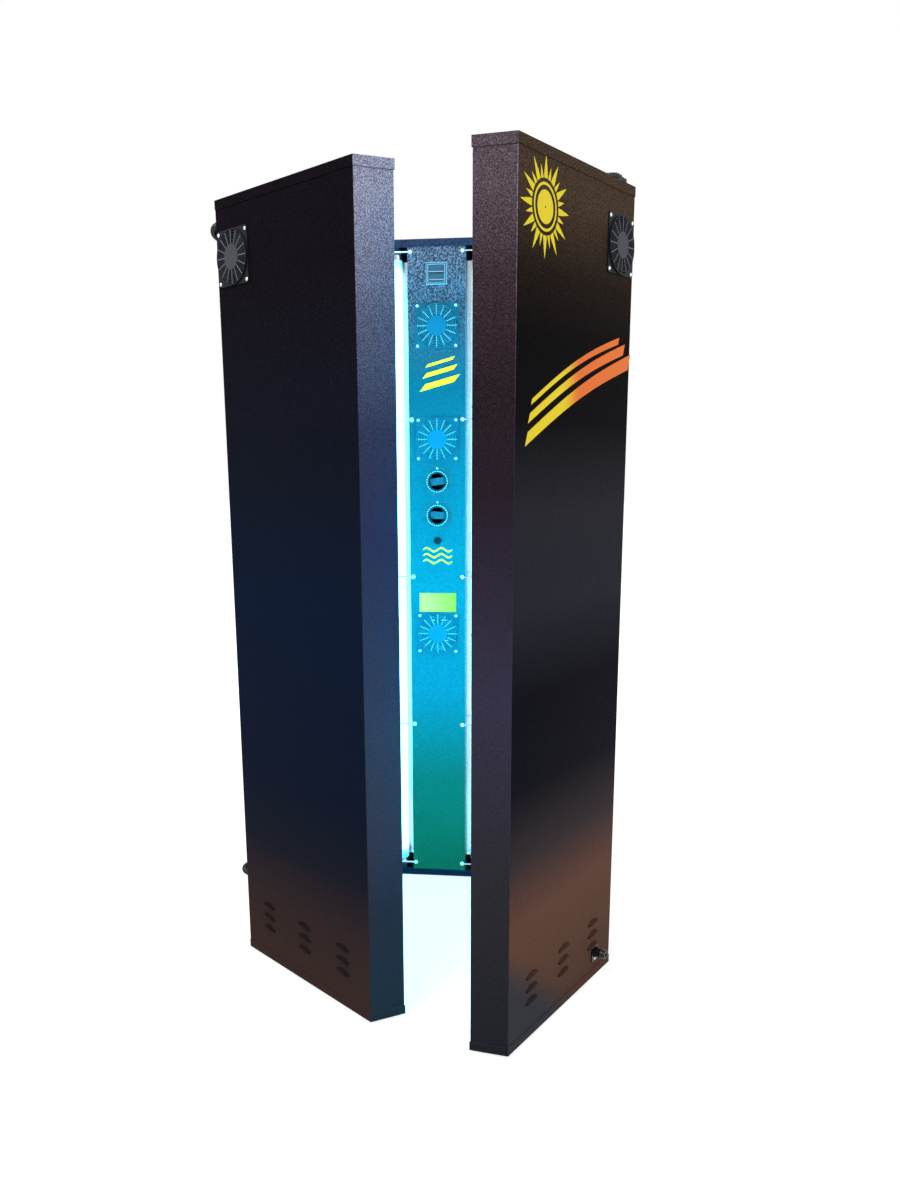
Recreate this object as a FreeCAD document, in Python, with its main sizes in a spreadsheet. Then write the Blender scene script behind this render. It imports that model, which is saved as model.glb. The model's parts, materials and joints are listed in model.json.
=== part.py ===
import FreeCAD, Part
import os
import Sketcher
from FreeCAD import Placement, Rotation, Vector
from math import asin, cos, pi, radians, sin, sqrt, tan

# Vertical tanning booth, millimetres. X is to the user's right when facing the booth from outside,
# Y points to the rear, Z is up. The origin lies on the floor under the middle of the rear tray.
#
# The booth is a five-sided ring of folded sheet trays: one rear tray, two side trays mitred to it,
# and two wings hinged to the side trays at their inner corners. Every tray has a frame of its own:
# local x along its outer face, local y from the outer face inwards, local z from its underside.
# The right-hand trays are the left-hand ones mirrored, which "hand" -1 says.

drivingSizes = {
    # whole booth
    "tall": 1838, "footHigh": 5, "trayDepth": 78.4, "flare": 28.3, "wingWide": 488.7,
    "rearHalf": 240, "hingeHalf": 429.5, "hingeForward": 397.3, "closedGap": 15,
    "leftOpen": 0, "rightOpen": 20.2, "seam": 0.3,
    # folded sheet and its caps
    "gauge": 1.2, "lipWide": 15, "bendRadius": 1.5, "capSkirt": 19, "capPlay": 0.3,
    # guard rods and their screws
    "rodLow": 41.5, "rodPitch": 441.1, "rodRadius": 2, "rodLift": 0.2, "eyeRadius": 6.2, "eyeThick": 2,
    "eyeInset": 8,
    "rodScrewAt": 71, "rodScrewRadius": 1.5, "rodScrewHead": 4, "rodScrewLong": 9, "screwPlay": 0.2,
    # lamps
    "lampLong": 1764, "glassRadius": 19, "glassWall": 1, "glassShoulder": 3, "lampCapRadius": 18,
    "lampCapLong": 12,
    "lampPinRadius": 1.2, "lampPinLong": 7, "lampPinSpread": 12.7, "lampPlane": 54, "lampPitch": 68,
    "lampNear": 114,
    # lampholders
    "holderWide": 24, "holderBack": 30, "holderFront": 68, "holderRecess": 9.5, "holderRecessDeep": 8,
    "holderGap": 0.3,
    # reflectors
    "reflectorPlane": 28, "reflectorGauge": 0.8, "ridgeHalf": 12, "ridgeHigh": 15, "reflectorInset": 50,
    "reflectorPlay": 0.3, "reflectorTuck": 12,
    # ballasts
    "ballastLong": 230, "ballastWide": 40, "ballastHigh": 24, "ballastTab": 12, "ballastTabThick": 1.5,
    "ballastTabHole": 2.2, "wingBallastAt": 300, "rearBallastLow": 190, "rearBallastHigh": 460,
    # fascia
    "fasciaHalf": 79,
    # fans
    "fanSquare": 120, "fanDeep": 25, "fanBore": 57, "fanScrewAt": 52.5, "fanCorner": 6,
    "fanScrewRadius": 1.9, "fanScrewHead": 4.3, "fanScrewLong": 16, "seatRadius": 24, "seatThick": 3,
    "strutWide": 5, "shaftRadius": 2, "shaftPlay": 0.05, "hubRadius": 25, "hubLong": 15, "hubGap": 1,
    "hubWall": 2,
    "bladeTip": 54.5, "bladeChord": 22, "bladeThick": 1.6, "bladeRootTurn": 42, "bladeTipTurn": 28,
    "upperFanAt": 1614.4, "middleFanAt": 1310.7, "lowerFanAt": 758.1, "wingFanIn": 66, "wingFanAt": 1709.5,
    # fan guards
    "guardThick": 3, "guardProud": 6.5, "guardWall": 2, "guardFace": 2.2, "guardDisc": 27,
    "guardDiscProud": 7.3,
    "ringWide": 1.3, "spokeWide": 1.6,
    # air nozzles
    "upperNozzleAt": 1194.3, "lowerNozzleAt": 1099.5, "flangeRadius": 40.5, "flangeThick": 1.5,
    "neckRadius": 33, "neckDeep": 28, "sleeveRadius": 27, "sleevePlay": 0.05, "sleeveBore": 23,
    "rimRadius": 29.5, "rimProud": 8, "rimGap": 0.3, "knurlRadius": 1.3, "vaneWide": 20, "vaneHalf": 20,
    "vaneThick": 3, "vaneDeep": 4, "vanePinRadius": 1.5, "vanePinPlay": 0.05, "upperNozzleTurn": 8,
    "lowerNozzleTurn": -3, "nozzleScrewUp": 36.6, "nozzleScrewRadius": 1.3, "nozzleScrewHead": 3,
    "nozzleScrewLong": 6,
    # push button and timer
    "buttonAt": 1028.2, "buttonRadius": 7.4, "buttonPlay": 0.08, "buttonProud": 3.5, "buttonDeep": 10,
    "buttonTravel": 3, "bushRadius": 9.5, "collarRadius": 11.5, "collarThick": 1.5, "timerWide": 60,
    "timerTall": 46, "timerDeep": 34,
    # switch
    "switchAt": 1749.6, "switchWide": 56, "switchTall": 57.5, "bezelThick": 2, "borderProud": 2,
    "borderWide": 3, "borderHalfWide": 25, "borderHalfTall": 25.5, "switchBodyHalf": 24, "switchDeep": 28,
    "cavityHalf": 20, "cavityTall": 19.6, "cavityDeep": 16, "cavityBar": 2.4, "rockerPlay": 0.3,
    "rockerHalfTall": 8.6, "rockerPivotDeep": 3, "rockerFront": 6, "rockerValley": 4.2, "rockerBack": 5,
    "rockerTilt": 8, "rockerPinRadius": 1, "rockerPinPlay": 0.05, "rockerPinLong": 2,
    # label plate
    "labelAt": 849, "labelWide": 106, "labelTall": 55, "labelThick": 0.8,
    # terminal block
    "terminalAt": 92, "terminalWide": 90, "terminalTall": 22, "terminalDeep": 18, "terminalPitch": 14,
    "terminalHole": 3, "terminalHoleDeep": 8,
    # louvres
    "louvreFirst": 95, "louvrePitch": 147.5, "louvreLow": 83, "louvreRise": 30.8, "louvreHalf": 25.5,
    "louvreTall": 12, "louvreProud": 6.5,
    # hinges
    "knuckleRadius": 3.5, "knuckleGap": 0.5, "hingeMargin": 3, "leafWide": 24, "leafThick": 1,
    "hingePinRadius": 1.6, "hingePinPlay": 0.05,
    # feet and glides
    "footRadius": 20, "footAside": 180, "footNear": 120, "footFar": 340, "glideRadius": 14, "glideNear": 60,
    "glideFar": 430,
    # conduits
    "conduitRadius": 9, "loopDepth": 34, "upperLoopAt": 1786, "upperLoopTilt": 10, "upperLoopLead": 36,
    "lowerLoopAt": 188, "lowerLoopTilt": 0, "lowerLoopLead": 36, "archAt": 46, "archDepth": 13,
    "archHigh": 17, "archTurnAt": 50, "archTurnDepth": 62, "archFarAt": 45, "archFarDepth": 40,
    "fittingExtra": 3.5, "fittingLong": 6,
    # cable gland of the mains lead
    "glandAt": 85, "glandHigh": 66, "glandRadius": 10, "glandLong": 33, "glandNutRadius": 13,
    "glandNutLong": 7, "glandDomeLong": 12, "glandBore": 5, "glandPlateWide": 30, "glandPlateUp": 14,
    "glandPlateDown": 24, "glandPlateThick": 3, "glandScrewDown": 17.5,
}

# Sizes that follow from the driving ones. axisOut and axisBack place the hinge axis against the tray's
# inner corner, so that the hinge leaf lies flat on the flared end wall, tangent to its knuckles.
workedSizes = {
    "slantRatio": "size.flare / size.trayDepth",
    "slantLong": "sqrt(size.flare ^ 2 + size.trayDepth ^ 2)",
    "axisOut": "size.knuckleRadius * size.trayDepth / slantLong",
    "axisBack": "size.knuckleRadius * size.flare / slantLong",
    "leafTurn": "atan2(size.trayDepth; size.flare)",
    "sideReach": "sqrt((size.hingeHalf - size.rearHalf) ^ 2 + size.hingeForward ^ 2)",
    "sideTurn": "atan2(size.hingeForward; size.hingeHalf - size.rearHalf) + asin(axisBack / sideReach)",
    "mitreSlope": "1 / tan((180deg - sideTurn) / 2)",
    "mitreShift": "size.trayDepth * mitreSlope",
    "rearOuter": "size.rearHalf + mitreShift",
    "sideLong": "mitreShift + sqrt(sideReach ^ 2 - axisBack ^ 2) - axisOut - size.flare",
    "wingReach": "size.wingWide + 2 * size.flare + axisOut",
    "closedTurn": "atan2(axisBack; wingReach) + acos((size.hingeHalf - size.closedGap / 2)"
                  " / sqrt(wingReach ^ 2 + axisBack ^ 2))",
    "leftTurn": "closedTurn + size.leftOpen * 1deg",
    "rightTurn": "closedTurn + size.rightOpen * 1deg",
    "hingeDeep": "-(size.hingeForward + size.trayDepth / 2)",
    "leftX": "-size.hingeHalf + (size.flare + axisOut) * cos(leftTurn)"
             " - (size.trayDepth - axisBack) * sin(leftTurn)",
    "leftY": "hingeDeep - (size.flare + axisOut) * sin(leftTurn)"
             " - (size.trayDepth - axisBack) * cos(leftTurn)",
    "rightX": "size.hingeHalf - (size.flare + axisOut) * cos(rightTurn)"
              " + (size.trayDepth - axisBack) * sin(rightTurn)",
    "rightY": "hingeDeep - (size.flare + axisOut) * sin(rightTurn)"
              " - (size.trayDepth - axisBack) * cos(rightTurn)",
    "overhang": "size.capPlay + size.gauge",
    "lampFoot": "(size.tall - size.lampLong) / 2",
    "hingeLow": "size.gauge + size.capSkirt + size.hingeMargin",
    "hingeLong": "size.tall - 2 * hingeLow",
    "guardHole": "size.fanScrewRadius + size.screwPlay",
    "neckBore": "size.sleeveRadius + size.sleevePlay",
}
rodRows = 5
knuckleSlots = 29
wingLamps = 7
sideLamps = 6
rearLampPairs = 2
louvreColumns = 3
louvreRows = 3
bladeCount = 7
guardSpokes = 16
guardRings = 6
knurlCount = 26
terminalPoles = 6

os.makedirs("parts", exist_ok=True)
doc = FreeCAD.newDocument("tanning_booth")
nodes = []


def make_sheet(name, cells, prefix):
    """A spreadsheet with one named cell for each value."""
    sheet = doc.addObject("Spreadsheet::Sheet", name)
    for row, (word, content) in enumerate(cells.items(), start=1):
        sheet.set(f"A{row}", word)
        sheet.set(f"B{row}", prefix + str(content))
        sheet.setAlias(f"B{row}", word)
    doc.recompute()
    return sheet


size = make_sheet("size", drivingSizes, "")
worked = make_sheet("worked", workedSizes, "=")


def number(expression):
    """The value of an expression in millimetres or degrees."""
    found = size.evalExpression(str(expression))
    return float(getattr(found, "Value", found))


# ---- tray frames and outlines -------------------------------------------------------------------

def tray(hand, x, y, turn, start, startSlope, end, endSlope):
    return {"hand": hand, "x": x, "y": y, "turn": turn,
            "start": start, "startSlope": startSlope, "end": end, "endSlope": endSlope}


rear = tray(-1, "0", "size.trayDepth / 2", "180deg",
            "-worked.rearOuter + size.seam", "worked.mitreSlope",
            "worked.rearOuter - size.seam", "-worked.mitreSlope")
leftSide = tray(1, "-worked.rearOuter", "size.trayDepth / 2", "worked.sideTurn - 180deg",
                "size.seam", "worked.mitreSlope", "worked.sideLong", "worked.slantRatio")
rightSide = dict(leftSide, hand=-1, x="worked.rearOuter", turn="180deg - worked.sideTurn")
leftWing = tray(1, "worked.leftX", "worked.leftY", "-worked.leftTurn",
                "0", "-worked.slantRatio", "size.wingWide", "worked.slantRatio")
rightWing = dict(leftWing, hand=-1, x="worked.rightX", y="worked.rightY", turn="worked.rightTurn")


def flip(panel, expression):
    return expression if panel["hand"] > 0 else f"-({expression})"


def span(panel, low, high):
    """A stretch of the tray's own x, as the lower and the higher end in the drawn frame."""
    return (low, high) if panel["hand"] > 0 else (f"-({high})", f"-({low})")


def start_at(panel, depth, out="0"):
    """x of the tray's first end wall at a depth, moved outwards by out."""
    slope = panel["startSlope"]
    return f"({panel['start']}) + ({slope}) * ({depth}) - ({out}) * sqrt(1 + ({slope}) ^ 2)"


def end_at(panel, depth, out="0"):
    slope = panel["endSlope"]
    return f"({panel['end']}) + ({slope}) * ({depth}) + ({out}) * sqrt(1 + ({slope}) ^ 2)"


def place(thing, panel, x="0", y="0", z="0", about=""):
    """Seats an object in a tray's frame at a local point; about adds a turn round local z."""
    turn = panel["turn"]
    along = flip(panel, x)
    thing.setExpression("Placement.Base.x", f"{panel['x']} + ({along}) * cos({turn}) - ({y}) * sin({turn})")
    thing.setExpression("Placement.Base.y", f"{panel['y']} + ({along}) * sin({turn}) + ({y}) * cos({turn})")
    thing.setExpression("Placement.Base.z", f"size.footHigh + {z}")
    thing.setExpression("Placement.Rotation.Angle", turn + about)


def to_world(panel, x, y, z):
    """The place of a local point of a tray in the booth's frame."""
    turn = radians(number(panel["turn"]))
    along = panel["hand"] * x
    return Vector(number(panel["x"]) + along * cos(turn) - y * sin(turn),
                  number(panel["y"]) + along * sin(turn) + y * cos(turn),
                  number("size.footHigh") + z)


def keep(thing, label):
    thing.Label = label
    nodes.append(thing)
    return thing


# ---- sketches and features ----------------------------------------------------------------------

def new_body(name):
    body = doc.addObject("PartDesign::Body", name)
    body.AllowCompound = True
    return body


def origin_feature(body, role):
    return [feature for feature in body.Origin.OriginFeatures if feature.Role == role][0]


def sketch_on(body, role, offset="0"):
    """A sketch on one of the body's own planes; offset lies along the plane's normal."""
    sketch = body.newObject("Sketcher::SketchObject", "sketch")
    sketch.AttachmentSupport = [(origin_feature(body, role), "")]
    sketch.MapMode = "FlatFace"
    sketch.setExpression("AttachmentOffset.Base.z", offset)
    return sketch


def bind(sketch, kind, where, expression):
    index = sketch.addConstraint(Sketcher.Constraint(kind, *where, number(expression)))
    name = f"c{index}"
    sketch.renameConstraint(index, name)
    sketch.setExpression("Constraints." + name, expression)


def draw_loop(sketch, corners):
    """A closed outline of straight lines, each corner bound to two expressions."""
    points = [Vector(number(x), number(y), 0) for x, y in corners]
    first = sketch.GeometryCount
    count = len(points)
    for k in range(count):
        sketch.addGeometry(Part.LineSegment(points[k], points[(k + 1) % count]), False)
    for k in range(count):
        sketch.addConstraint(Sketcher.Constraint("Coincident", first + k, 2, first + (k + 1) % count, 1))
    for k, (x, y) in enumerate(corners):
        bind(sketch, "DistanceX", (-1, 1, first + k, 1), x)
        bind(sketch, "DistanceY", (-1, 1, first + k, 1), y)
    return sketch


def draw_box(sketch, low_x, low_y, high_x, high_y):
    return draw_loop(sketch, [(low_x, low_y), (high_x, low_y), (high_x, high_y), (low_x, high_y)])


def draw_circle(sketch, x, y, radius):
    index = sketch.GeometryCount
    centre = Vector(number(x), number(y), 0)
    sketch.addGeometry(Part.Circle(centre, Vector(0, 0, 1), number(radius)), False)
    bind(sketch, "DistanceX", (-1, 1, index, 3), x)
    bind(sketch, "DistanceY", (-1, 1, index, 3), y)
    bind(sketch, "Radius", (index,), radius)
    return sketch


def extrude(kind, body, sketch, length, midplane=False, reverse=False):
    feature = body.newObject("PartDesign::" + kind, kind.lower())
    feature.Profile = sketch
    feature.setExpression("Length", length)
    feature.Midplane = midplane
    feature.Reversed = reverse
    return feature


def pad(body, sketch, length, **how):
    return extrude("Pad", body, sketch, length, **how)


def pocket(body, sketch, length, **how):
    return extrude("Pocket", body, sketch, length, **how)


def pierce(body, sketch):
    """Cuts a sheet at the sketch's own plane, a gauge and a half to each side."""
    return pocket(body, sketch, "3 * size.gauge", midplane=True)


def revolve(body, sketch):
    feature = body.newObject("PartDesign::Revolution", "revolution")
    feature.Profile = sketch
    feature.ReferenceAxis = (sketch, ["V_Axis"])
    feature.Angle = 360
    return feature


def repeat(body, features, role, step, count, reverse=False):
    """Repeats features along one of the body's own axes."""
    pattern = body.newObject("PartDesign::LinearPattern", "row")
    pattern.Originals = features
    pattern.Direction = (origin_feature(body, role), [""])
    pattern.Mode = "Spacing"
    pattern.setExpression("Offset", step)
    pattern.Occurrences = count
    pattern.Reversed = reverse
    body.Tip = pattern
    return pattern


def row_along(body, features, panel, step, count):
    return repeat(body, features, "X_Axis", step, count, reverse=panel["hand"] < 0)


def group(name, members):
    compound = doc.addObject("Part::Compound", name)
    compound.Links = members
    return compound


def solid_node(label, shape):
    """A piece whose form is worked out below with Part's own functions."""
    thing = doc.addObject("Part::Feature", label)
    thing.Shape = shape
    return keep(thing, label)


depth = "size.trayDepth"
gauge = "size.gauge"
rodHeights = [f"size.rodLow + {row} * size.rodPitch" for row in range(rodRows)]


# ---- casings and caps ---------------------------------------------------------------------------

def casing_section(panel):
    """Outer face, two end walls and two lips, each one gauge thick."""
    inner = f"{depth} - {gauge}"
    lip = "size.lipWide"
    corners = [
        (start_at(panel, "0"), "0"), (end_at(panel, "0"), "0"), (end_at(panel, depth), depth),
        (f"{end_at(panel, depth)} - {lip}", depth), (f"{end_at(panel, depth)} - {lip}", inner),
        (end_at(panel, inner, f"-{gauge}"), inner), (end_at(panel, gauge, f"-{gauge}"), gauge),
        (start_at(panel, gauge, f"-{gauge}"), gauge), (start_at(panel, inner, f"-{gauge}"), inner),
        (f"{start_at(panel, depth)} + {lip}", inner), (f"{start_at(panel, depth)} + {lip}", depth),
        (start_at(panel, depth), depth)]
    return [(flip(panel, x), y) for x, y in corners]


def round_bends(body, base, panel):
    """Rounds the two outer bends of a casing."""
    doc.recompute()
    bends = []
    for k, edge in enumerate(base.Shape.Edges, start=1):
        low, high = edge.BoundBox.ZMin, edge.BoundBox.ZMax
        depths = (abs(edge.BoundBox.YMin), abs(edge.BoundBox.YMax))
        if max(depths) < number("size.seam") and high - low > number("size.tall") / 2:
            bends.append(f"Edge{k}")
    fillet = body.newObject("PartDesign::Fillet", "bends")
    fillet.Base = (base, bends)
    fillet.setExpression("Radius", "size.bendRadius")
    return fillet


def louvre_group(body, panel, first, columns, low):
    """Pressed louvres: a quarter ellipsoid stands out of the face, its hollow opens downwards."""
    made = []
    for kind, less, sweep in (("Additive", "0", 180), ("Subtractive", gauge, 360)):
        hood = body.newObject(f"PartDesign::{kind}Ellipsoid", "hood")
        hood.setExpression("Radius1", f"size.louvreTall - {less}")
        hood.setExpression("Radius2", f"size.louvreHalf - {less}")
        hood.setExpression("Radius3", f"size.louvreProud - {less}")
        hood.Angle1 = 0
        hood.Angle2 = 90
        hood.Angle3 = sweep
        hood.Placement = Placement(Vector(0, 0, 0), Rotation(Vector(0, 0, 1), 180))
        hood.setExpression("Placement.Base.x", flip(panel, first))
        hood.setExpression("Placement.Base.z", low)
        made.append(hood)
    many = body.newObject("PartDesign::MultiTransform", "louvres")
    many.Originals = made
    steps = [("Z_Axis", "size.louvreRise", louvreRows, False)]
    if columns > 1:
        steps.append(("X_Axis", "size.louvrePitch", columns, panel["hand"] < 0))
    rows = []
    for role, step, count, reverse in steps:
        pattern = body.newObject("PartDesign::LinearPattern", "line")
        pattern.Direction = (origin_feature(body, role), [""])
        pattern.Mode = "Spacing"
        pattern.setExpression("Offset", step)
        pattern.Occurrences = count
        pattern.Reversed = reverse
        rows.append(pattern)
    many.Transformations = rows
    body.Tip = many
    return many


def fan_openings(sketch, x, z):
    draw_circle(sketch, x, z, "size.fanBore")
    for aside in ("-", "+"):
        for up in ("-", "+"):
            draw_circle(sketch, f"{x} {aside} size.fanScrewAt", f"{z} {up} size.fanScrewAt",
                        "worked.guardHole")


def casing(label, panel, louvres, fanAt=None, cable=None):
    body = new_body(label)
    section = draw_loop(sketch_on(body, "XY_Plane", gauge), casing_section(panel))
    shell = pad(body, section, f"size.tall - 2 * {gauge}")
    round_bends(body, shell, panel)
    lips = sketch_on(body, "XZ_Plane", f"-{depth}")
    for height in rodHeights:
        for x in (f"{start_at(panel, depth)} + size.eyeInset", f"{end_at(panel, depth)} - size.eyeInset"):
            draw_circle(lips, flip(panel, x), height, "size.rodScrewRadius + size.screwPlay")
    pierce(body, lips)
    if fanAt:
        face = sketch_on(body, "XZ_Plane")
        fan_openings(face, flip(panel, fanAt[0]), fanAt[1])
        pierce(body, face)
    if cable:
        entry = sketch_on(body, "XZ_Plane")
        draw_circle(entry, flip(panel, cable[0]), cable[1], "size.glandBore")
        draw_circle(entry, flip(panel, cable[0]), f"{cable[1]} - size.glandScrewDown", "worked.guardHole")
        pierce(body, entry)
    for first, columns, low in louvres:
        louvre_group(body, panel, first, columns, low)
    place(body, panel)
    return keep(body, label)


def cap(panel, top, skirts):
    """A plate with a turned-down skirt; an end without a skirt is flush with the tray's end wall."""
    body = new_body("cap")
    tallCap = f"{gauge} + size.capSkirt"
    low = f"size.tall - ({tallCap})" if top else "0"
    startOut, endOut = ["worked.overhang" if skirt else "0" for skirt in skirts]
    startIn, endIn = ["size.capPlay" if skirt else "worked.overhang" for skirt in skirts]
    front, back = f"{depth} + worked.overhang", "-worked.overhang"
    outer = [(start_at(panel, back, startOut), back), (end_at(panel, back, endOut), back),
             (end_at(panel, front, endOut), front), (start_at(panel, front, startOut), front)]
    front, back = f"{depth} + size.capPlay", "-size.capPlay"
    inner = [(start_at(panel, back, startIn), back), (end_at(panel, back, endIn), back),
             (end_at(panel, front, endIn), front), (start_at(panel, front, startIn), front)]
    pad(body, draw_loop(sketch_on(body, "XY_Plane", low), [(flip(panel, x), y) for x, y in outer]), tallCap)
    hollow = "size.tall - " + gauge if top else gauge
    sketch = draw_loop(sketch_on(body, "XY_Plane", hollow), [(flip(panel, x), y) for x, y in inner])
    pocket(body, sketch, f"{tallCap} + {gauge}", reverse=not top)
    place(body, panel)
    return body


# ---- rods, lamps and what carries them ----------------------------------------------------------

def guard_rods(name, panel, low, high):
    """Five rods across the lamps, each with a flat eye at both ends that a screw holds."""
    body = new_body(name)
    low, high = span(panel, low, high)
    tip = "(size.rodScrewHead + size.screwPlay)"
    section = draw_circle(sketch_on(body, "YZ_Plane", f"{low} + {tip}"),
                          f"{depth} + size.rodRadius + size.rodLift", "size.rodLow", "size.rodRadius")
    rod = pad(body, section, f"{high} - ({low}) - 2 * {tip}")
    eyes = sketch_on(body, "XZ_Plane", f"-{depth}")
    for x in (low, high):
        draw_circle(eyes, x, "size.rodLow", "size.eyeRadius")
        draw_circle(eyes, x, "size.rodLow", "size.rodScrewRadius + size.screwPlay")
    eye = pad(body, eyes, "size.eyeThick", reverse=True)
    repeat(body, [rod, eye], "Z_Axis", "size.rodPitch", rodRows)
    place(body, panel)
    return body


def lamps(name, panel, first, count):
    """Fluorescent tubes: glass with a metal cap and two pins at each end."""
    body = new_body(name)
    foot, head = "worked.lampFoot", "(worked.lampFoot + size.lampLong)"
    cap_low, cap_high = f"{foot} + size.lampCapLong", f"{head} - size.lampCapLong"
    shoulder, wall = "size.glassShoulder", "size.glassWall"
    neck = f"size.glassRadius - {shoulder}"
    inside, inNeck = f"size.glassRadius - {wall}", f"{neck} - {wall}"
    outline = [("0", foot), ("size.lampCapRadius", foot), ("size.lampCapRadius", cap_low),
               (neck, cap_low), ("size.glassRadius", f"{cap_low} + {shoulder}"),
               ("size.glassRadius", f"{cap_high} - {shoulder}"), (neck, cap_high),
               ("size.lampCapRadius", cap_high), ("size.lampCapRadius", head), ("0", head),
               ("0", f"{head} - {wall}"), (inNeck, f"{head} - {wall}"),
               (inNeck, f"{cap_high} - {shoulder}"),
               (inside, f"{cap_high} - 2 * {shoulder}"), (inside, f"{cap_low} + 2 * {shoulder}"),
               (inNeck, f"{cap_low} + {shoulder}"), (inNeck, f"{foot} + {wall}"), ("0", f"{foot} + {wall}")]
    made = [revolve(body, draw_loop(sketch_on(body, "XZ_Plane"), outline))]
    for low in (f"{foot} - size.lampPinLong", f"{head} - {wall}"):
        pins = sketch_on(body, "XY_Plane", low)
        for aside in ("-", ""):
            draw_circle(pins, f"{aside}size.lampPinSpread / 2", "0", "size.lampPinRadius")
        made.append(pad(body, pins, f"size.lampPinLong + {wall}"))
    row_along(body, made, panel, "size.lampPitch", count)
    place(body, panel, first, "size.lampPlane")
    return body


def lampholders(name, panel, first, count):
    """A block at each end of each lamp, with a round recess for the lamp's pins."""
    body = new_body(name)
    made = []
    half = "size.holderWide / 2"
    face = "(worked.lampFoot - size.holderGap)"
    floor = f"({face} - size.holderRecessDeep)"
    for low, high, hollow in ((gauge, floor, False), (floor, face, True),
                              (f"size.tall - {floor}", f"size.tall - {gauge}", False),
                              (f"size.tall - {face}", f"size.tall - {floor}", True)):
        sketch = sketch_on(body, "XY_Plane", low)
        draw_box(sketch, f"-{half}", "size.holderBack", half, "size.holderFront")
        if hollow:
            draw_circle(sketch, "0", "size.lampPlane", "size.holderRecess")
        made.append(pad(body, sketch, f"{high} - ({low})"))
    row_along(body, made, panel, "size.lampPitch", count)
    place(body, panel, first)
    return body


def reflector(name, panel, ridges, tuck=None):
    """Bright sheet behind the lamps: turned up at the tray's end walls, with a ridge between lamps."""
    body = new_body(name)
    play, sheet = f"({gauge} + size.reflectorPlay)", "size.reflectorGauge"
    back = "size.reflectorPlane"
    face = f"{back} + {sheet}"
    top = f"{depth} - {gauge} - size.reflectorPlay"
    under, over = [], []
    for x in ridges:
        near, far = f"{x} - size.ridgeHalf", f"{x} + size.ridgeHalf"
        under += [(near, back), (x, f"{back} + size.ridgeHigh"), (far, back)]
        over += [(near, face), (x, f"{face} + size.ridgeHigh"), (far, face)]
    if tuck:
        corners = [(tuck, face), (tuck, back)]
    else:
        corners = [(start_at(panel, face, f"-{play} - {sheet}"), face),
                   (start_at(panel, top, f"-{play} - {sheet}"), top),
                   (start_at(panel, top, f"-{play}"), top), (start_at(panel, back, f"-{play}"), back)]
    corners += under
    corners += [(end_at(panel, back, f"-{play}"), back), (end_at(panel, top, f"-{play}"), top),
                (end_at(panel, top, f"-{play} - {sheet}"), top),
                (end_at(panel, face, f"-{play} - {sheet}"), face)]
    corners += over[::-1]
    section = draw_loop(sketch_on(body, "XY_Plane", "size.reflectorInset"),
                        [(flip(panel, x), y) for x, y in corners])
    pad(body, section, "size.tall - 2 * size.reflectorInset")
    place(body, panel)
    return body


def ballasts(name, panel, first, low, count, step="size.lampPitch"):
    """Slim lamp ballasts on the tray's back, each held by a tab at both ends."""
    body = new_body(name)
    half = "size.ballastWide / 2"
    block = pad(body, draw_box(sketch_on(body, "XY_Plane", low), f"-{half}", "0", half, "size.ballastHigh"),
                "size.ballastLong")
    tabs = sketch_on(body, "XZ_Plane")
    draw_box(tabs, f"-{half}", f"{low} - size.ballastTab",
             half, f"{low} + size.ballastLong + size.ballastTab")
    for z in (f"{low} - size.ballastTab / 2", f"{low} + size.ballastLong + size.ballastTab / 2"):
        draw_circle(tabs, "0", z, "size.ballastTabHole")
    plate = pad(body, tabs, "size.ballastTabThick", reverse=True)
    if count > 1:
        row_along(body, [block, plate], panel, step, count)
    place(body, panel, first, gauge)
    return body


def lamp_set(name, panel, count):
    """Lamps centred in a tray, with their holders; gives the first lamp's x too."""
    middle = f"({start_at(panel, 'size.lampPlane')} + {end_at(panel, 'size.lampPlane')}) / 2"
    first = f"({middle} - {count - 1} * size.lampPitch / 2)"
    tubes = lamps(name + "_tubes", panel, first, count)
    holders = lampholders(name + "_holders", panel, first, count)
    ridges = [f"({first} + {k + 0.5} * size.lampPitch)" for k in range(count - 1)]
    return tubes, holders, reflector(name + "_mirror", panel, ridges), first


# ---- screws -------------------------------------------------------------------------------------

def domed_screw(radius, head, long, domeHigh):
    """A screw along +Y from its seat at the origin: dome towards +Y, shank towards -Y."""
    ball = (head * head + domeHigh * domeHigh) / (2 * domeHigh)
    dome = Part.makeSphere(ball, Vector(0, domeHigh - ball, 0))
    dome = dome.common(Part.makeCylinder(head, domeHigh, Vector(0, 0, 0), Vector(0, 1, 0)))
    return dome.fuse(Part.makeCylinder(radius, long, Vector(0, 0, 0), Vector(0, -1, 0))).removeSplitter()


def seat(shape, panel, x, y, z, outwards=False):
    """A copy of a shape whose +Y points into the booth, or out of it."""
    angle = number(panel["turn"]) + (180 if outwards else 0)
    copy = shape.copy()
    copy.Placement = Placement(to_world(panel, x, y, z), Rotation(Vector(0, 0, 1), angle))
    return copy


rodScrew = domed_screw(size.rodScrewRadius, size.rodScrewHead, size.rodScrewLong, size.rodScrewHead * 0.7)
fanScrew = domed_screw(size.fanScrewRadius, size.fanScrewHead, size.fanScrewLong, size.fanScrewHead * 0.6)
nozzleScrew = domed_screw(size.nozzleScrewRadius, size.nozzleScrewHead, size.nozzleScrewLong,
                          size.nozzleScrewHead * 0.6)


def rod_screws(panel, places):
    onEye = number(depth) + size.eyeThick
    return [seat(rodScrew, panel, number(x), onEye, number(z)) for x in places for z in rodHeights]


def fan_screws(panel, x, y, z, outwards=False):
    away = size.fanScrewAt
    return [seat(fanScrew, panel, x + a, y, z + b, outwards) for a in (-away, away) for b in (-away, away)]


# ---- fans ---------------------------------------------------------------------------------------

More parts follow.
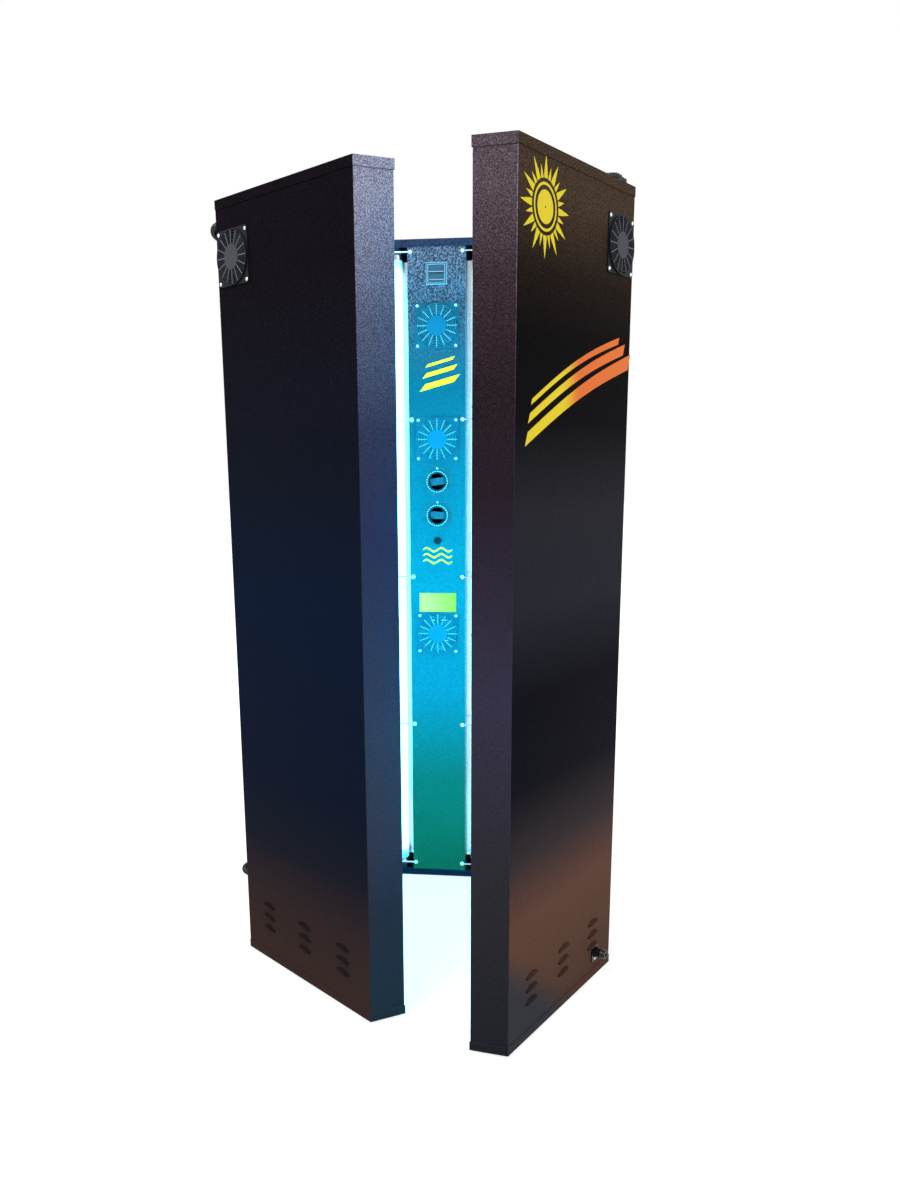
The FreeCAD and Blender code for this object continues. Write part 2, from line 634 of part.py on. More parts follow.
def fan_frame(panel, x, y, z, about=""):
    """Square fan housing behind its panel: bore, motor seat on four struts, bearing hole."""
    body = new_body("fan_frame")
    half, corner, deep = "size.fanSquare / 2", "size.fanCorner", "size.fanDeep"
    outline = [(f"-{half} + {corner}", f"-{half}"), (f"{half} - {corner}", f"-{half}"),
               (half, f"-{half} + {corner}"), (half, f"{half} - {corner}"), (f"{half} - {corner}", half),
               (f"-{half} + {corner}", half), (f"-{half}", f"{half} - {corner}"),
               (f"-{half}", f"-{half} + {corner}")]
    sketch = draw_loop(sketch_on(body, "XZ_Plane"), outline)
    fan_openings(sketch, "0", "0")
    pad(body, sketch, deep)
    strut, reach = "size.strutWide / 2", "(size.fanBore + size.fanCorner / 4)"
    for wide, high in ((strut, reach), (reach, strut)):
        cross = sketch_on(body, "XZ_Plane", deep)
        draw_box(cross, f"-{wide}", f"-{high}", wide, high)
        pad(body, cross, "size.seatThick", reverse=True)
    plate = draw_circle(sketch_on(body, "XZ_Plane", deep), "0", "0", "size.seatRadius")
    pad(body, plate, "size.seatThick", reverse=True)
    hole = draw_circle(sketch_on(body, "XZ_Plane", deep), "0", "0", "size.shaftRadius + size.shaftPlay")
    pocket(body, hole, "3 * size.seatThick", midplane=True)
    place(body, panel, x, y, z, about)
    return body


def blade_section(radius, turn, middle):
    """A blade's thin cross-section at one radius, turned from the wheel's plane."""
    along, thick = size.bladeChord / 2, size.bladeThick / 2
    c, s = cos(radians(turn)), sin(radians(turn))
    points = []
    for a, b in ((-along, -thick), (along, -thick), (along, thick), (-along, thick)):
        points.append(Vector(a * c - b * s, middle + a * s + b * c, radius))
    return Part.makePolygon(points + points[:1])


def fan_rotor():
    """Hub cup on a shaft with seven twisted blades; the axis is Y, the panel's back is at y = 0."""
    back = -size.fanDeep + size.seatThick + size.hubGap
    middle = back + size.hubLong / 2
    hub = Part.makeCylinder(size.hubRadius, size.hubLong, Vector(0, back, 0), Vector(0, 1, 0))
    cup = Part.makeCylinder(size.hubRadius - size.hubWall, size.hubLong - size.hubWall,
                            Vector(0, back, 0), Vector(0, 1, 0))
    hub = hub.cut(cup)
    boss = Part.makeCylinder(2 * size.shaftRadius, size.hubLong - size.hubWall,
                             Vector(0, back, 0), Vector(0, 1, 0))
    shaft = Part.makeCylinder(size.shaftRadius, size.fanDeep - size.seatThick,
                              Vector(0, -size.fanDeep, 0), Vector(0, 1, 0))
    root = blade_section(size.hubRadius - size.hubWall / 2, size.bladeRootTurn, middle)
    tip = blade_section(size.bladeTip, size.bladeTipTurn, middle)
    blade = Part.makeLoft([root, tip], True, True)
    sweep = Part.makeCylinder(size.bladeTip, size.fanDeep, Vector(0, -size.fanDeep, 0), Vector(0, 1, 0))
    blade = blade.common(sweep)
    blades = []
    for k in range(bladeCount):
        turned = blade.copy()
        turned.rotate(Vector(0, 0, 0), Vector(0, 1, 0), 360 * k / bladeCount)
        blades.append(turned)
    return hub.multiFuse([boss, shaft] + blades)


def guard_cell(inner, outer, low, high):
    """One opening of a fan guard, between two rings and two spokes."""
    half = size.spokeWide / 2

    def at(radius, angle):
        return Vector(radius * cos(angle), 0, radius * sin(angle))

    a1, a2 = low + asin(half / inner), high - asin(half / inner)
    b1, b2 = low + asin(half / outer), high - asin(half / outer)
    edges = [Part.Arc(at(inner, a1), at(inner, (a1 + a2) / 2), at(inner, a2)).toShape(),
             Part.makeLine(at(inner, a2), at(outer, b2)),
             Part.Arc(at(outer, b2), at(outer, (b1 + b2) / 2), at(outer, b1)).toShape(),
             Part.makeLine(at(outer, b1), at(inner, a1))]
    return Part.Wire(edges)


def fan_guard():
    """Plastic finger guard on the panel's face at y = 0, towards +Y: square base, ringed face, disc."""
    half, corner, bore = size.fanSquare / 2, size.fanCorner, size.fanBore
    axis = Vector(0, 1, 0)
    base = Part.makeBox(2 * half, size.guardThick, 2 * half, Vector(-half, 0, -half))
    upright = [edge for edge in base.Edges if abs(edge.BoundBox.YLength - size.guardThick) < 1e-6
               and edge.BoundBox.XLength < 1e-6 and edge.BoundBox.ZLength < 1e-6]
    base = base.makeFillet(corner, upright)
    wall = Part.makeCylinder(bore + size.guardWall, size.guardProud, Vector(0, 0, 0), axis)
    body = base.fuse(wall).cut(Part.makeCylinder(bore, size.guardProud, Vector(0, 0, 0), axis))
    hole = number("worked.guardHole")
    for a in (-size.fanScrewAt, size.fanScrewAt):
        for b in (-size.fanScrewAt, size.fanScrewAt):
            body = body.cut(Part.makeCylinder(hole, size.guardProud, Vector(a, 0, b), axis))
    pitch = (bore - size.guardDisc) / (guardRings + 1)
    rim = Part.Wire([Part.makeCircle(bore, Vector(0, 0, 0), axis)])
    wires = []
    for ring in range(guardRings + 1):
        inner = size.guardDisc + ring * pitch + size.ringWide / 2
        outer = size.guardDisc + (ring + 1) * pitch - size.ringWide / 2
        for spoke in range(guardSpokes):
            low = 2 * pi * spoke / guardSpokes
            wires.append(guard_cell(inner, outer, low, low + 2 * pi / guardSpokes))
    face = Part.makeFace([rim] + wires, "Part::FaceMakerBullseye")
    grille = face.extrude(Vector(0, size.guardFace, 0))
    grille.translate(Vector(0, size.guardProud - size.guardFace, 0))
    disc = Part.makeCylinder(size.guardDisc, size.guardDiscProud - size.guardProud + size.guardFace,
                             Vector(0, size.guardProud - size.guardFace, 0), axis)
    return body.multiFuse([grille, disc])


# ---- fascia and what it carries -----------------------------------------------------------------

fasciaFans = {"upper": "size.upperFanAt", "middle": "size.middleFanAt", "lower": "size.lowerFanAt"}
nozzles = {"upper": ("size.upperNozzleAt", "size.upperNozzleTurn"),
           "lower": ("size.lowerNozzleAt", "size.lowerNozzleTurn")}
behind = f"{depth} - {gauge}"


def fascia():
    """Tall folded plate over the middle of the rear tray, with every opening in its face."""
    body = new_body("fascia")
    half = "size.fasciaHalf"
    foot = "size.reflectorPlane + size.reflectorGauge"
    section = [(f"-{half}", depth), (f"-{half}", foot), (f"-{half} + {gauge}", foot),
               (f"-{half} + {gauge}", behind), (f"{half} - {gauge}", behind), (f"{half} - {gauge}", foot),
               (half, foot), (half, depth)]
    pad(body, draw_loop(sketch_on(body, "XY_Plane", gauge), section), f"size.tall - 2 * {gauge}")
    face = sketch_on(body, "XZ_Plane", f"-{depth}")
    for z in fasciaFans.values():
        fan_openings(face, "0", z)
    for z, _ in nozzles.values():
        draw_circle(face, "0", z, "size.neckRadius + size.screwPlay")
        draw_circle(face, "0", f"{z} + size.nozzleScrewUp", "size.nozzleScrewRadius + size.screwPlay")
    draw_circle(face, "0", "size.buttonAt", "size.bushRadius + size.screwPlay")
    bodyHalf = "(size.switchBodyHalf + size.screwPlay)"
    draw_box(face, f"-{bodyHalf}", f"size.switchAt - {bodyHalf}", bodyHalf, f"size.switchAt + {bodyHalf}")
    for aside in ("-", ""):
        for height in rodHeights:
            draw_circle(face, f"{aside}size.rodScrewAt", height, "size.rodScrewRadius + size.screwPlay")
    pierce(body, face)
    place(body, rear)
    return keep(body, "fascia")


def nozzle_ring(z):
    """Fixed flange with a neck through the fascia, which the sleeve turns in."""
    body = new_body("nozzle_ring")
    flange = sketch_on(body, "XZ_Plane")
    draw_circle(flange, "0", "0", "size.flangeRadius")
    draw_circle(flange, "0", "0", "worked.neckBore")
    draw_circle(flange, "0", "size.nozzleScrewUp", "size.nozzleScrewRadius + size.screwPlay")
    pad(body, flange, "size.flangeThick", reverse=True)
    neck = sketch_on(body, "XZ_Plane")
    draw_circle(neck, "0", "0", "size.neckRadius")
    draw_circle(neck, "0", "0", "worked.neckBore")
    pad(body, neck, "size.neckDeep")
    place(body, rear, "0", depth, z)
    return body


def turned_place(body, z, turn):
    """Seats a nozzle's piece on the fascia, turned about the nozzle's own axis."""
    place(body, rear, "0", depth, z)
    body.setExpression("Placement.Rotation.Axis.x", f"-sin({turn} / 2 * 1deg)")
    body.setExpression("Placement.Rotation.Axis.z", f"cos({turn} / 2 * 1deg)")


def nozzle(label, z, turn):
    """Turning sleeve with a knurled rim and two pivot holes for the vane."""
    body = new_body(label)
    rimBack = "(size.flangeThick + size.rimGap)"
    sleeve = sketch_on(body, "XZ_Plane", f"-{rimBack}")
    draw_circle(sleeve, "0", "0", "size.sleeveRadius")
    draw_circle(sleeve, "0", "0", "size.sleeveBore")
    pad(body, sleeve, f"{rimBack} + size.neckDeep")
    rim = sketch_on(body, "XZ_Plane", f"-{rimBack}")
    draw_circle(rim, "0", "0", "size.rimRadius")
    draw_circle(rim, "0", "0", "size.sleeveBore")
    pad(body, rim, f"size.rimProud - {rimBack}", reverse=True)
    pivots = draw_circle(sketch_on(body, "YZ_Plane"), "-size.vaneDeep", "0",
                         "size.vanePinRadius + size.vanePinPlay")
    pocket(body, pivots, "3 * size.sleeveRadius", midplane=True)
    notch = draw_circle(sketch_on(body, "XZ_Plane", f"-{rimBack}"), "size.rimRadius", "0",
                        "size.knurlRadius")
    groove = pocket(body, notch, "size.rimProud")
    groove.Reversed = False
    knurl = body.newObject("PartDesign::PolarPattern", "knurl")
    knurl.Originals = [groove]
    knurl.Axis = (origin_feature(body, "Y_Axis"), [""])
    knurl.Angle = 360
    knurl.Occurrences = knurlCount
    body.Tip = knurl
    turned_place(body, z, turn)
    return keep(body, label)


def vane(label, z, turn):
    """Flat blade across the nozzle, on a pin at each end."""
    body = new_body(label)
    blade = draw_box(sketch_on(body, "XZ_Plane", "size.vaneDeep"), "-size.vaneHalf", "-size.vaneWide / 2",
                     "size.vaneHalf", "size.vaneWide / 2")
    pad(body, blade, "size.vaneThick", midplane=True)
    pins = draw_circle(sketch_on(body, "YZ_Plane"), "-size.vaneDeep", "0", "size.vanePinRadius")
    pad(body, pins, "2 * (size.sleeveRadius - size.rimGap)", midplane=True)
    turned_place(body, z, turn)
    return keep(body, label)


def timer_unit():
    """Timer box behind the fascia; its bush comes through and guides the push button."""
    body = new_body("timer_unit")
    wide, high = "size.timerWide / 2", "size.timerTall / 2"
    box = draw_box(sketch_on(body, "XZ_Plane", gauge), f"-{wide}", f"-{high}", wide, high)
    pad(body, box, "size.timerDeep")
    bush = draw_circle(sketch_on(body, "XZ_Plane", gauge), "0", "0", "size.bushRadius")
    pad(body, bush, gauge, reverse=True)
    collar = draw_circle(sketch_on(body, "XZ_Plane"), "0", "0", "size.collarRadius")
    pad(body, collar, "size.collarThick", reverse=True)
    bore = draw_circle(sketch_on(body, "XZ_Plane", "-size.collarThick"), "0", "0",
                       "size.buttonRadius + size.buttonPlay")
    pocket(body, bore, "size.collarThick + size.buttonDeep + size.buttonTravel + 1", reverse=True)
    place(body, rear, "0", depth, "size.buttonAt")
    return keep(body, "timer_unit")


def push_button():
    body = new_body("push_button")
    proud = "size.collarThick + size.buttonProud"
    stem = draw_circle(sketch_on(body, "XZ_Plane", "size.buttonDeep"), "0", "0", "size.buttonRadius")
    pad(body, stem, f"size.buttonDeep + {proud}", reverse=True)
    place(body, rear, "0", depth, "size.buttonAt")
    return keep(body, "push_button")


rockerCentre = "(size.cavityTall + size.cavityBar) / 2"


def switch_frame():
    """Square bezel with a raised border, and the body behind it with one cavity for each rocker."""
    body = new_body("switch_frame")
    wide, high = "size.switchWide / 2", "size.switchTall / 2"
    bezel = draw_box(sketch_on(body, "XZ_Plane"), f"-{wide}", f"-{high}", wide, high)
    pad(body, bezel, "size.bezelThick", reverse=True)
    border = sketch_on(body, "XZ_Plane", "-size.bezelThick")
    outWide, outTall = "size.borderHalfWide", "size.borderHalfTall"
    draw_box(border, f"-{outWide}", f"-{outTall}", outWide, outTall)
    inWide, inTall = "(size.borderHalfWide - size.borderWide)", "(size.borderHalfTall - size.borderWide)"
    draw_box(border, f"-{inWide}", f"-{inTall}", inWide, inTall)
    pad(body, border, "size.borderProud", reverse=True)
    half = "size.switchBodyHalf"
    pad(body, draw_box(sketch_on(body, "XZ_Plane"), f"-{half}", f"-{half}", half, half), "size.switchDeep")
    cavities = sketch_on(body, "XZ_Plane", "-size.bezelThick")
    for side in ("-", ""):
        low = f"{side}{rockerCentre} - size.cavityTall / 2"
        draw_box(cavities, "-size.cavityHalf", low, "size.cavityHalf", f"{low} + size.cavityTall")
    pocket(body, cavities, "size.bezelThick + size.cavityDeep", reverse=True)
    pivots = sketch_on(body, "YZ_Plane")
    for side in ("-", ""):
        draw_circle(pivots, "-size.rockerPivotDeep", side + rockerCentre,
                    "size.rockerPinRadius + size.rockerPinPlay")
    pocket(body, pivots, "2 * (size.cavityHalf + size.rockerPinLong)", midplane=True)
    place(body, rear, "0", depth, "size.switchAt")
    return keep(body, "switch_frame")


def rocker(label, side):
    """Rocker with a shallow V front, resting on its lower half, on a pin at each end."""
    body = new_body(label)
    centre = side + rockerCentre
    tilt = "size.rockerTilt * 1deg"
    half = "size.rockerHalfTall"
    corners = []
    for y, z in (("size.rockerFront", f"-{half}"), ("size.rockerValley", "0"), ("size.rockerFront", half),
                 ("-size.rockerBack", half), ("-size.rockerBack", f"-{half}")):
        corners.append((f"-size.rockerPivotDeep + ({y}) * cos({tilt}) - ({z}) * sin({tilt})",
                        f"{centre} + ({y}) * sin({tilt}) + ({z}) * cos({tilt})"))
    pad(body, draw_loop(sketch_on(body, "YZ_Plane"), corners), "2 * (size.cavityHalf - size.rockerPlay)",
        midplane=True)
    pins = draw_circle(sketch_on(body, "YZ_Plane"), "-size.rockerPivotDeep", centre, "size.rockerPinRadius")
    pad(body, pins, "2 * (size.cavityHalf + size.rockerPinLong - size.rockerPlay)", midplane=True)
    place(body, rear, "0", depth, "size.switchAt")
    return keep(body, label)


def label_plate():
    body = new_body("label_plate")
    wide, high = "size.labelWide / 2", "size.labelTall / 2"
    plate = draw_box(sketch_on(body, "XZ_Plane"), f"-{wide}", f"-{high}", wide, high)
    pad(body, plate, "size.labelThick", reverse=True)
    place(body, rear, "0", depth, "size.labelAt")
    return keep(body, "label_plate")


def terminal_block():
    """Strip of terminals on the rear tray's back, with a screw well for each pole."""
    body = new_body("terminal_block")
    wide, high = "size.terminalWide / 2", "size.terminalTall / 2"
    strip = draw_box(sketch_on(body, "XZ_Plane"), f"-{wide}", f"-{high}", wide, high)
    pad(body, strip, "size.terminalDeep", reverse=True)
    first = f"-{(terminalPoles - 1) / 2} * size.terminalPitch"
    well = draw_circle(sketch_on(body, "XZ_Plane", "-size.terminalDeep"), first, "0", "size.terminalHole")
    hole = pocket(body, well, "size.terminalHoleDeep", reverse=True)
    repeat(body, [hole], "X_Axis", "size.terminalPitch", terminalPoles)
    place(body, rear, "0", gauge, "size.terminalAt")
    return keep(body, "terminal_block")


# ---- hinges, feet and conduits ------------------------------------------------------------------

def hinge_leaf(hand, turn, thickSide, slot):
    """Half of a piano hinge: a plate on the tray's end wall and every second knuckle."""
    body = new_body("leaf")
    reach = "size.leafWide"
    clear = "(size.knuckleRadius + size.knuckleGap)"
    low, high = "size.knuckleRadius - size.leafThick", "size.knuckleRadius"
    knucklePitch = f"(worked.hingeLong / {knuckleSlots})"

    def strip(sketch, near, far):
        corners = [(near, low), (far, low), (far, high), (near, high)]
        side = "" if thickSide > 0 else "-"
        hands = "" if hand > 0 else "-"
        return draw_loop(sketch, [(f"{hands}({x})", f"{side}({y})") for x, y in corners])

    pad(body, strip(sketch_on(body, "XY_Plane", "worked.hingeLow"), clear, reach), "worked.hingeLong")
    start = f"worked.hingeLow + {slot} * {knucklePitch}"
    ring = sketch_on(body, "XY_Plane", start)
    draw_circle(ring, "0", "0", "size.knuckleRadius")
    draw_circle(ring, "0", "0", "size.hingePinRadius + size.hingePinPlay")
    barrel = pad(body, ring, f"{knucklePitch} - size.knuckleGap")
    web = pad(body, strip(sketch_on(body, "XY_Plane", start), "0", f"{clear} + size.leafThick"),
              f"{knucklePitch} - size.knuckleGap")
    repeat(body, [barrel, web], "Z_Axis", f"2 * {knucklePitch}", (knuckleSlots + 1 - slot) // 2)
    body.setExpression("Placement.Base.x", ("-" if hand > 0 else "") + "size.hingeHalf")
    body.setExpression("Placement.Base.y", "worked.hingeDeep")
    body.setExpression("Placement.Base.z", "size.footHigh")
    body.setExpression("Placement.Rotation.Angle", turn)
    return body


def hinge_pin(hand):
    pin = doc.addObject("Part::Cylinder", "pin")
    pin.setExpression("Radius", "size.hingePinRadius")
    pin.setExpression("Height", "worked.hingeLong")
    pin.setExpression("Placement.Base.x", ("-" if hand > 0 else "") + "size.hingeHalf")
    pin.setExpression("Placement.Base.y", "worked.hingeDeep")
    pin.setExpression("Placement.Base.z", "size.footHigh + worked.hingeLow")
    return pin


def foot(panel, x, radius):
    """Round pad from the floor to a tray's underside."""
    pad_ = doc.addObject("Part::Cylinder", "foot")
    pad_.setExpression("Radius", radius)
    pad_.setExpression("Height", "size.footHigh")
    place(pad_, panel, x, f"{depth} / 2", "-size.footHigh")
    return pad_


def rounded_path(points):
    """Straight runs joined by tangent arcs: an end run gives most of its length to its arc, others half."""
    runs = [(after - before).Length for before, after in zip(points, points[1:])]
    free = [0.45 * run for run in runs]
    free[0], free[-1] = 0.8 * runs[0], 0.8 * runs[-1]
    edges = []
    last = points[0]
    for k in range(1, len(points) - 1):
        corner = points[k]
        arriving, leaving = corner - points[k - 1], points[k + 1] - corner
        turn = arriving.getAngle(leaving)
        away = min(free[k - 1], free[k])
        arriving.normalize()
        leaving.normalize()
        first, second = corner - arriving * away, corner + leaving * away
        inward = (leaving - arriving).normalize()
        radius = away / tan(turn / 2)
        middle = corner + inward * (radius / cos(turn / 2) - radius)
        edges.append(Part.makeLine(last, first))
        edges.append(Part.Arc(first, middle, second).toShape())
        last = second
    edges.append(Part.makeLine(last, points[-1]))
    return Part.Wire(edges)


def conduit(points):
    """A flexible conduit between two end fittings, which stand square on the faces they enter."""
    radius = size.conduitRadius
    path = rounded_path(points)
    start = path.Edges[0].tangentAt(path.Edges[0].FirstParameter)
    ring = Part.Wire([Part.makeCircle(radius, points[0], start)])
    tube = path.makePipeShell([ring], True, True)
    fittings = []
    for end, inside in ((points[0], points[1]), (points[-1], points[-2])):
        fittings.append(Part.makeCylinder(radius + size.fittingExtra, size.fittingLong, end, inside - end))
    return tube.multiFuse(fittings).removeSplitter()


def hinge_loop(high, tilt, lead):
    """Loop in the open corner between left side tray and left wing, higher at the wing by 2 tilts."""
    near = size.loopDepth
    slope = number("worked.slantRatio")
    out = Vector(1, slope) * (lead / sqrt(1 + slope * slope))
    far = number("worked.sideLong") + slope * near
    return conduit([to_world(leftWing, -slope * near, near, high + tilt),
                    to_world(leftWing, -slope * near - out.x, near - out.y, high + tilt),
                    to_world(leftSide, far + out.x, near - out.y, high - tilt),
                    to_world(leftSide, far, near, high - tilt)])


def top_arch():
    """Low arch that leaves the right wing's top, turns over it and ends on the right side tray's top."""
    far = number("worked.sideLong") - size.archFarAt
    over = size.tall + size.archHigh
    return conduit([to_world(rightWing, size.archAt, size.archDepth, size.tall),
                    to_world(rightWing, size.archAt, size.archDepth, over),
                    to_world(rightWing, size.archTurnAt, size.archTurnDepth, over),
                    to_world(rightSide, far, size.archFarDepth, over),
                    to_world(rightSide, far, size.archFarDepth, size.tall)])


def hexagon(radius, long, centre, axis):
    """A hexagonal nut's prism; radius is to its corners."""
    corners = [centre + Vector(radius * cos(k * pi / 3), 0, radius * sin(k * pi / 3)) for k in range(7)]
    return Part.Face(Part.makePolygon(corners)).extrude(axis * long)


def mains_gland():
    """Cable gland that stands square out of the right wing's outer face, on a plate with one screw."""
    out = Vector(0, -1, 0)
    centre = Vector(-size.glandAt, 0, size.glandHigh)
    seatAt = centre + out * size.glandPlateThick
    corner = centre + Vector(-size.glandPlateWide / 2, -size.glandPlateThick, -size.glandPlateDown)
    plate = Part.makeBox(size.glandPlateWide, size.glandPlateThick,
                         size.glandPlateUp + size.glandPlateDown, corner)
    nut = hexagon(size.glandNutRadius, size.glandNutLong, seatAt, out)
    barrel = Part.makeCylinder(size.glandRadius, size.glandLong - size.glandPlateThick, seatAt, out)
    dome = Part.makeCone(size.glandNutRadius, size.glandRadius, size.glandDomeLong,
                         centre + out * (size.glandLong - size.glandDomeLong), out)
    bore = Part.makeCylinder(size.glandBore, size.glandLong, centre, out)
    hole = Part.makeCylinder(number("worked.guardHole"), size.glandPlateThick,
                             centre - Vector(0, 0, size.glandScrewDown), out)
    shape = plate.multiFuse([nut, barrel, dome]).cut(bore).cut(hole)
    turned = Rotation(Vector(0, 0, 1), number(rightWing["turn"]))
    shape.Placement = Placement(to_world(rightWing, 0, 0, 0), turned)
    return shape


# ---- the fixed unit -----------------------------------------------------------------------------

footGroup = [("size.louvreFirst", louvreColumns, "size.louvreLow")]
rearLouvres = [("-size.louvrePitch", louvreColumns, "size.louvreLow")]
for fanHeight in fasciaFans.values():
    rearLouvres.append(("0", 1, f"{fanHeight} - size.louvreRise - size.louvreTall / 2"))
casing("rear_casing", rear, rearLouvres)
casing("left_side_casing", leftSide, footGroup)
casing("right_side_casing", rightSide, footGroup)
fixedCaps = []
for top in (False, True):
    fixedCaps.append(cap(rear, top, (False, False)))
    fixedCaps.append(cap(leftSide, top, (False, False)))
    fixedCaps.append(cap(rightSide, top, (False, False)))
keep(group("caps", fixedCaps), "fixed_caps")
fascia()

rearFirst = "size.lampNear"
rearFirstLeft = f"(-size.lampNear - {rearLampPairs - 1} * size.lampPitch)"
rearRidge = "size.lampNear + size.lampPitch / 2"
tuckUnder = "size.fasciaHalf - size.reflectorTuck"
mirroredRear = dict(rear, hand=1, x="0", turn="180deg")
tubes, holders, mirrors = [], [], []
tubes.append(lamps("rear_right_tubes", rear, rearFirst, rearLampPairs))
tubes.append(lamps("rear_left_tubes", rear, rearFirstLeft, rearLampPairs))
holders.append(lampholders("rear_right_holders", rear, rearFirst, rearLampPairs))
holders.append(lampholders("rear_left_holders", rear, rearFirstLeft, rearLampPairs))
for half in (rear, mirroredRear):
    mirrors.append(reflector("rear_mirror", half, [rearRidge], tuckUnder))
units = []
for panel, word in ((leftSide, "left_side"), (rightSide, "right_side")):
    row, sockets, mirror, first = lamp_set(word, panel, sideLamps)
    tubes.append(row)
    holders.append(sockets)
    mirrors.append(mirror)
    units.append(ballasts(word + "_ballasts", panel, f"{first} + size.lampPitch / 2", "size.wingBallastAt",
                          sideLamps // 2, "2 * size.lampPitch"))
units.append(ballasts("rear_low_ballast", rear, "0", "size.rearBallastLow", 1))
units.append(ballasts("rear_high_ballast", rear, "0", "size.rearBallastHigh", 1))
keep(group("mirrors", mirrors), "fixed_reflectors")
keep(group("tubes", tubes), "fixed_lamps")
keep(group("sockets", holders), "fixed_lampholders")
keep(group("units", units), "fixed_ballasts")

rearEye = f"{end_at(rear, depth)} - size.eyeInset"
sideEyes = [f"{start_at(leftSide, depth)} + size.eyeInset", f"{end_at(leftSide, depth)} - size.eyeInset"]
wingEyes = [f"{start_at(leftWing, depth)} + size.eyeInset", f"{end_at(leftWing, depth)} - size.eyeInset"]
rods = [guard_rods("rear_right_rods", rear, "size.rodScrewAt", rearEye),
        guard_rods("rear_left_rods", rear, f"-({rearEye})", "-size.rodScrewAt"),
        guard_rods("left_side_rods", leftSide, *sideEyes),
        guard_rods("right_side_rods", rightSide, *sideEyes)]
keep(group("rods", rods), "fixed_guard_rods")

guardShape = fan_guard()
rotorShape = fan_rotor()
keep(group("frames", [fan_frame(rear, "0", behind, z) for z in fasciaFans.values()]), "fascia_fan_frames")
solid_node("fascia_fan_guards", Part.makeCompound(
    [seat(guardShape, rear, 0, number(depth), number(z)) for z in fasciaFans.values()]))
for word, z in fasciaFans.items():
    solid_node(word + "_fan_rotor", seat(rotorShape, rear, 0, number(behind), number(z)))
keep(group("rings", [nozzle_ring(z) for z, _ in nozzles.values()]), "nozzle_rings")
for word, (z, turn) in nozzles.items():
    nozzle(word + "_nozzle", z, turn)
    vane(word + "_vane", z, turn)
timer_unit()
push_button()
switch_frame()
rocker("upper_rocker", "")
rocker("lower_rocker", "-")
label_plate()
terminal_block()

fixedScrews = rod_screws(rear, ["size.rodScrewAt", rearEye, "-size.rodScrewAt", f"-({rearEye})"])
fixedScrews += rod_screws(leftSide, sideEyes) + rod_screws(rightSide, sideEyes)
for z in fasciaFans.values():
    fixedScrews += fan_screws(rear, 0, number(depth) + size.guardThick, number(z))
for z, _ in nozzles.values():
    onFlange = number(depth) + size.flangeThick
    fixedScrews.append(seat(nozzleScrew, rear, 0, onFlange, number(z) + size.nozzleScrewUp))
solid_node("fixed_screws", Part.makeCompound(fixedScrews))

fixedLeaves = [hinge_leaf(1, "worked.sideTurn + worked.leafTurn", -1, 0),
               hinge_leaf(-1, "-worked.sideTurn - worked.leafTurn", -1, 0)]
keep(group("leaves", fixedLeaves), "frame_hinge_leaves")
keep(group("pins", [hinge_pin(1), hinge_pin(-1)]), "hinge_pins")
feet = [foot(rear, x, "size.footRadius") for x in ("-size.footAside", "0", "size.footAside")]
for panel in (leftSide, rightSide):
    feet += [foot(panel, x, "size.footRadius") for x in ("size.footNear", "size.footFar")]
keep(group("feet_group", feet), "feet")
loops = [hinge_loop(size.upperLoopAt, size.upperLoopTilt, size.upperLoopLead),
         hinge_loop(size.lowerLoopAt, size.lowerLoopTilt, size.lowerLoopLead)]
solid_node("left_conduits", Part.makeCompound(loops))
solid_node("right_conduit", top_arch())


# ---- the wings ----------------------------------------------------------------------------------

def wing(word, panel, leafAngle):
    fanAt = ("size.wingFanIn", "size.wingFanAt")
    right = panel["hand"] < 0
    cable = ("size.glandAt", "size.glandHigh") if right else None
    casing(word + "_wing_casing", panel, footGroup, fanAt, cable)
    keep(group("caps", [cap(panel, top, (False, True)) for top in (False, True)]), word + "_wing_caps")
    row, sockets, mirror, first = lamp_set(word + "_wing", panel, wingLamps)
    keep(row, word + "_wing_lamps")
    keep(sockets, word + "_wing_lampholders")
    keep(mirror, word + "_wing_reflector")
    keep(ballasts("units", panel, f"{first} + size.lampPitch", "size.wingBallastAt", wingLamps // 2,
                  "2 * size.lampPitch"), word + "_wing_ballasts")
    keep(guard_rods("rods", panel, *wingEyes), word + "_wing_guard_rods")
    keep(fan_frame(panel, fanAt[0], gauge, fanAt[1], " + 180deg"), word + "_wing_fan_frame")
    x, z = number(fanAt[0]), number(fanAt[1])
    solid_node(word + "_wing_fan_guard", seat(guardShape, panel, x, 0, z, True))
    solid_node(word + "_wing_fan_rotor", seat(rotorShape, panel, x, number(gauge), z, True))
    screws = rod_screws(panel, wingEyes) + fan_screws(panel, x, -size.guardThick, z, True)
    if right:
        low = size.glandHigh - size.glandScrewDown
        screws.append(seat(fanScrew, panel, size.glandAt, -size.glandPlateThick, low, True))
    solid_node(word + "_wing_screws", Part.makeCompound(screws))
    keep(hinge_leaf(panel["hand"], leafAngle, 1, 1), word + "_wing_hinge_leaf")
    glides = [foot(panel, x, "size.glideRadius") for x in ("size.glideNear", "size.glideFar")]
    keep(group("glide_pair", glides), word + "_wing_glides")


wing("left", leftWing, "-worked.leftTurn - worked.leafTurn")
wing("right", rightWing, "worked.rightTurn + worked.leafTurn")
solid_node("mains_gland", mains_gland())

# ---- checks and files ---------------------------------------------------------------------------

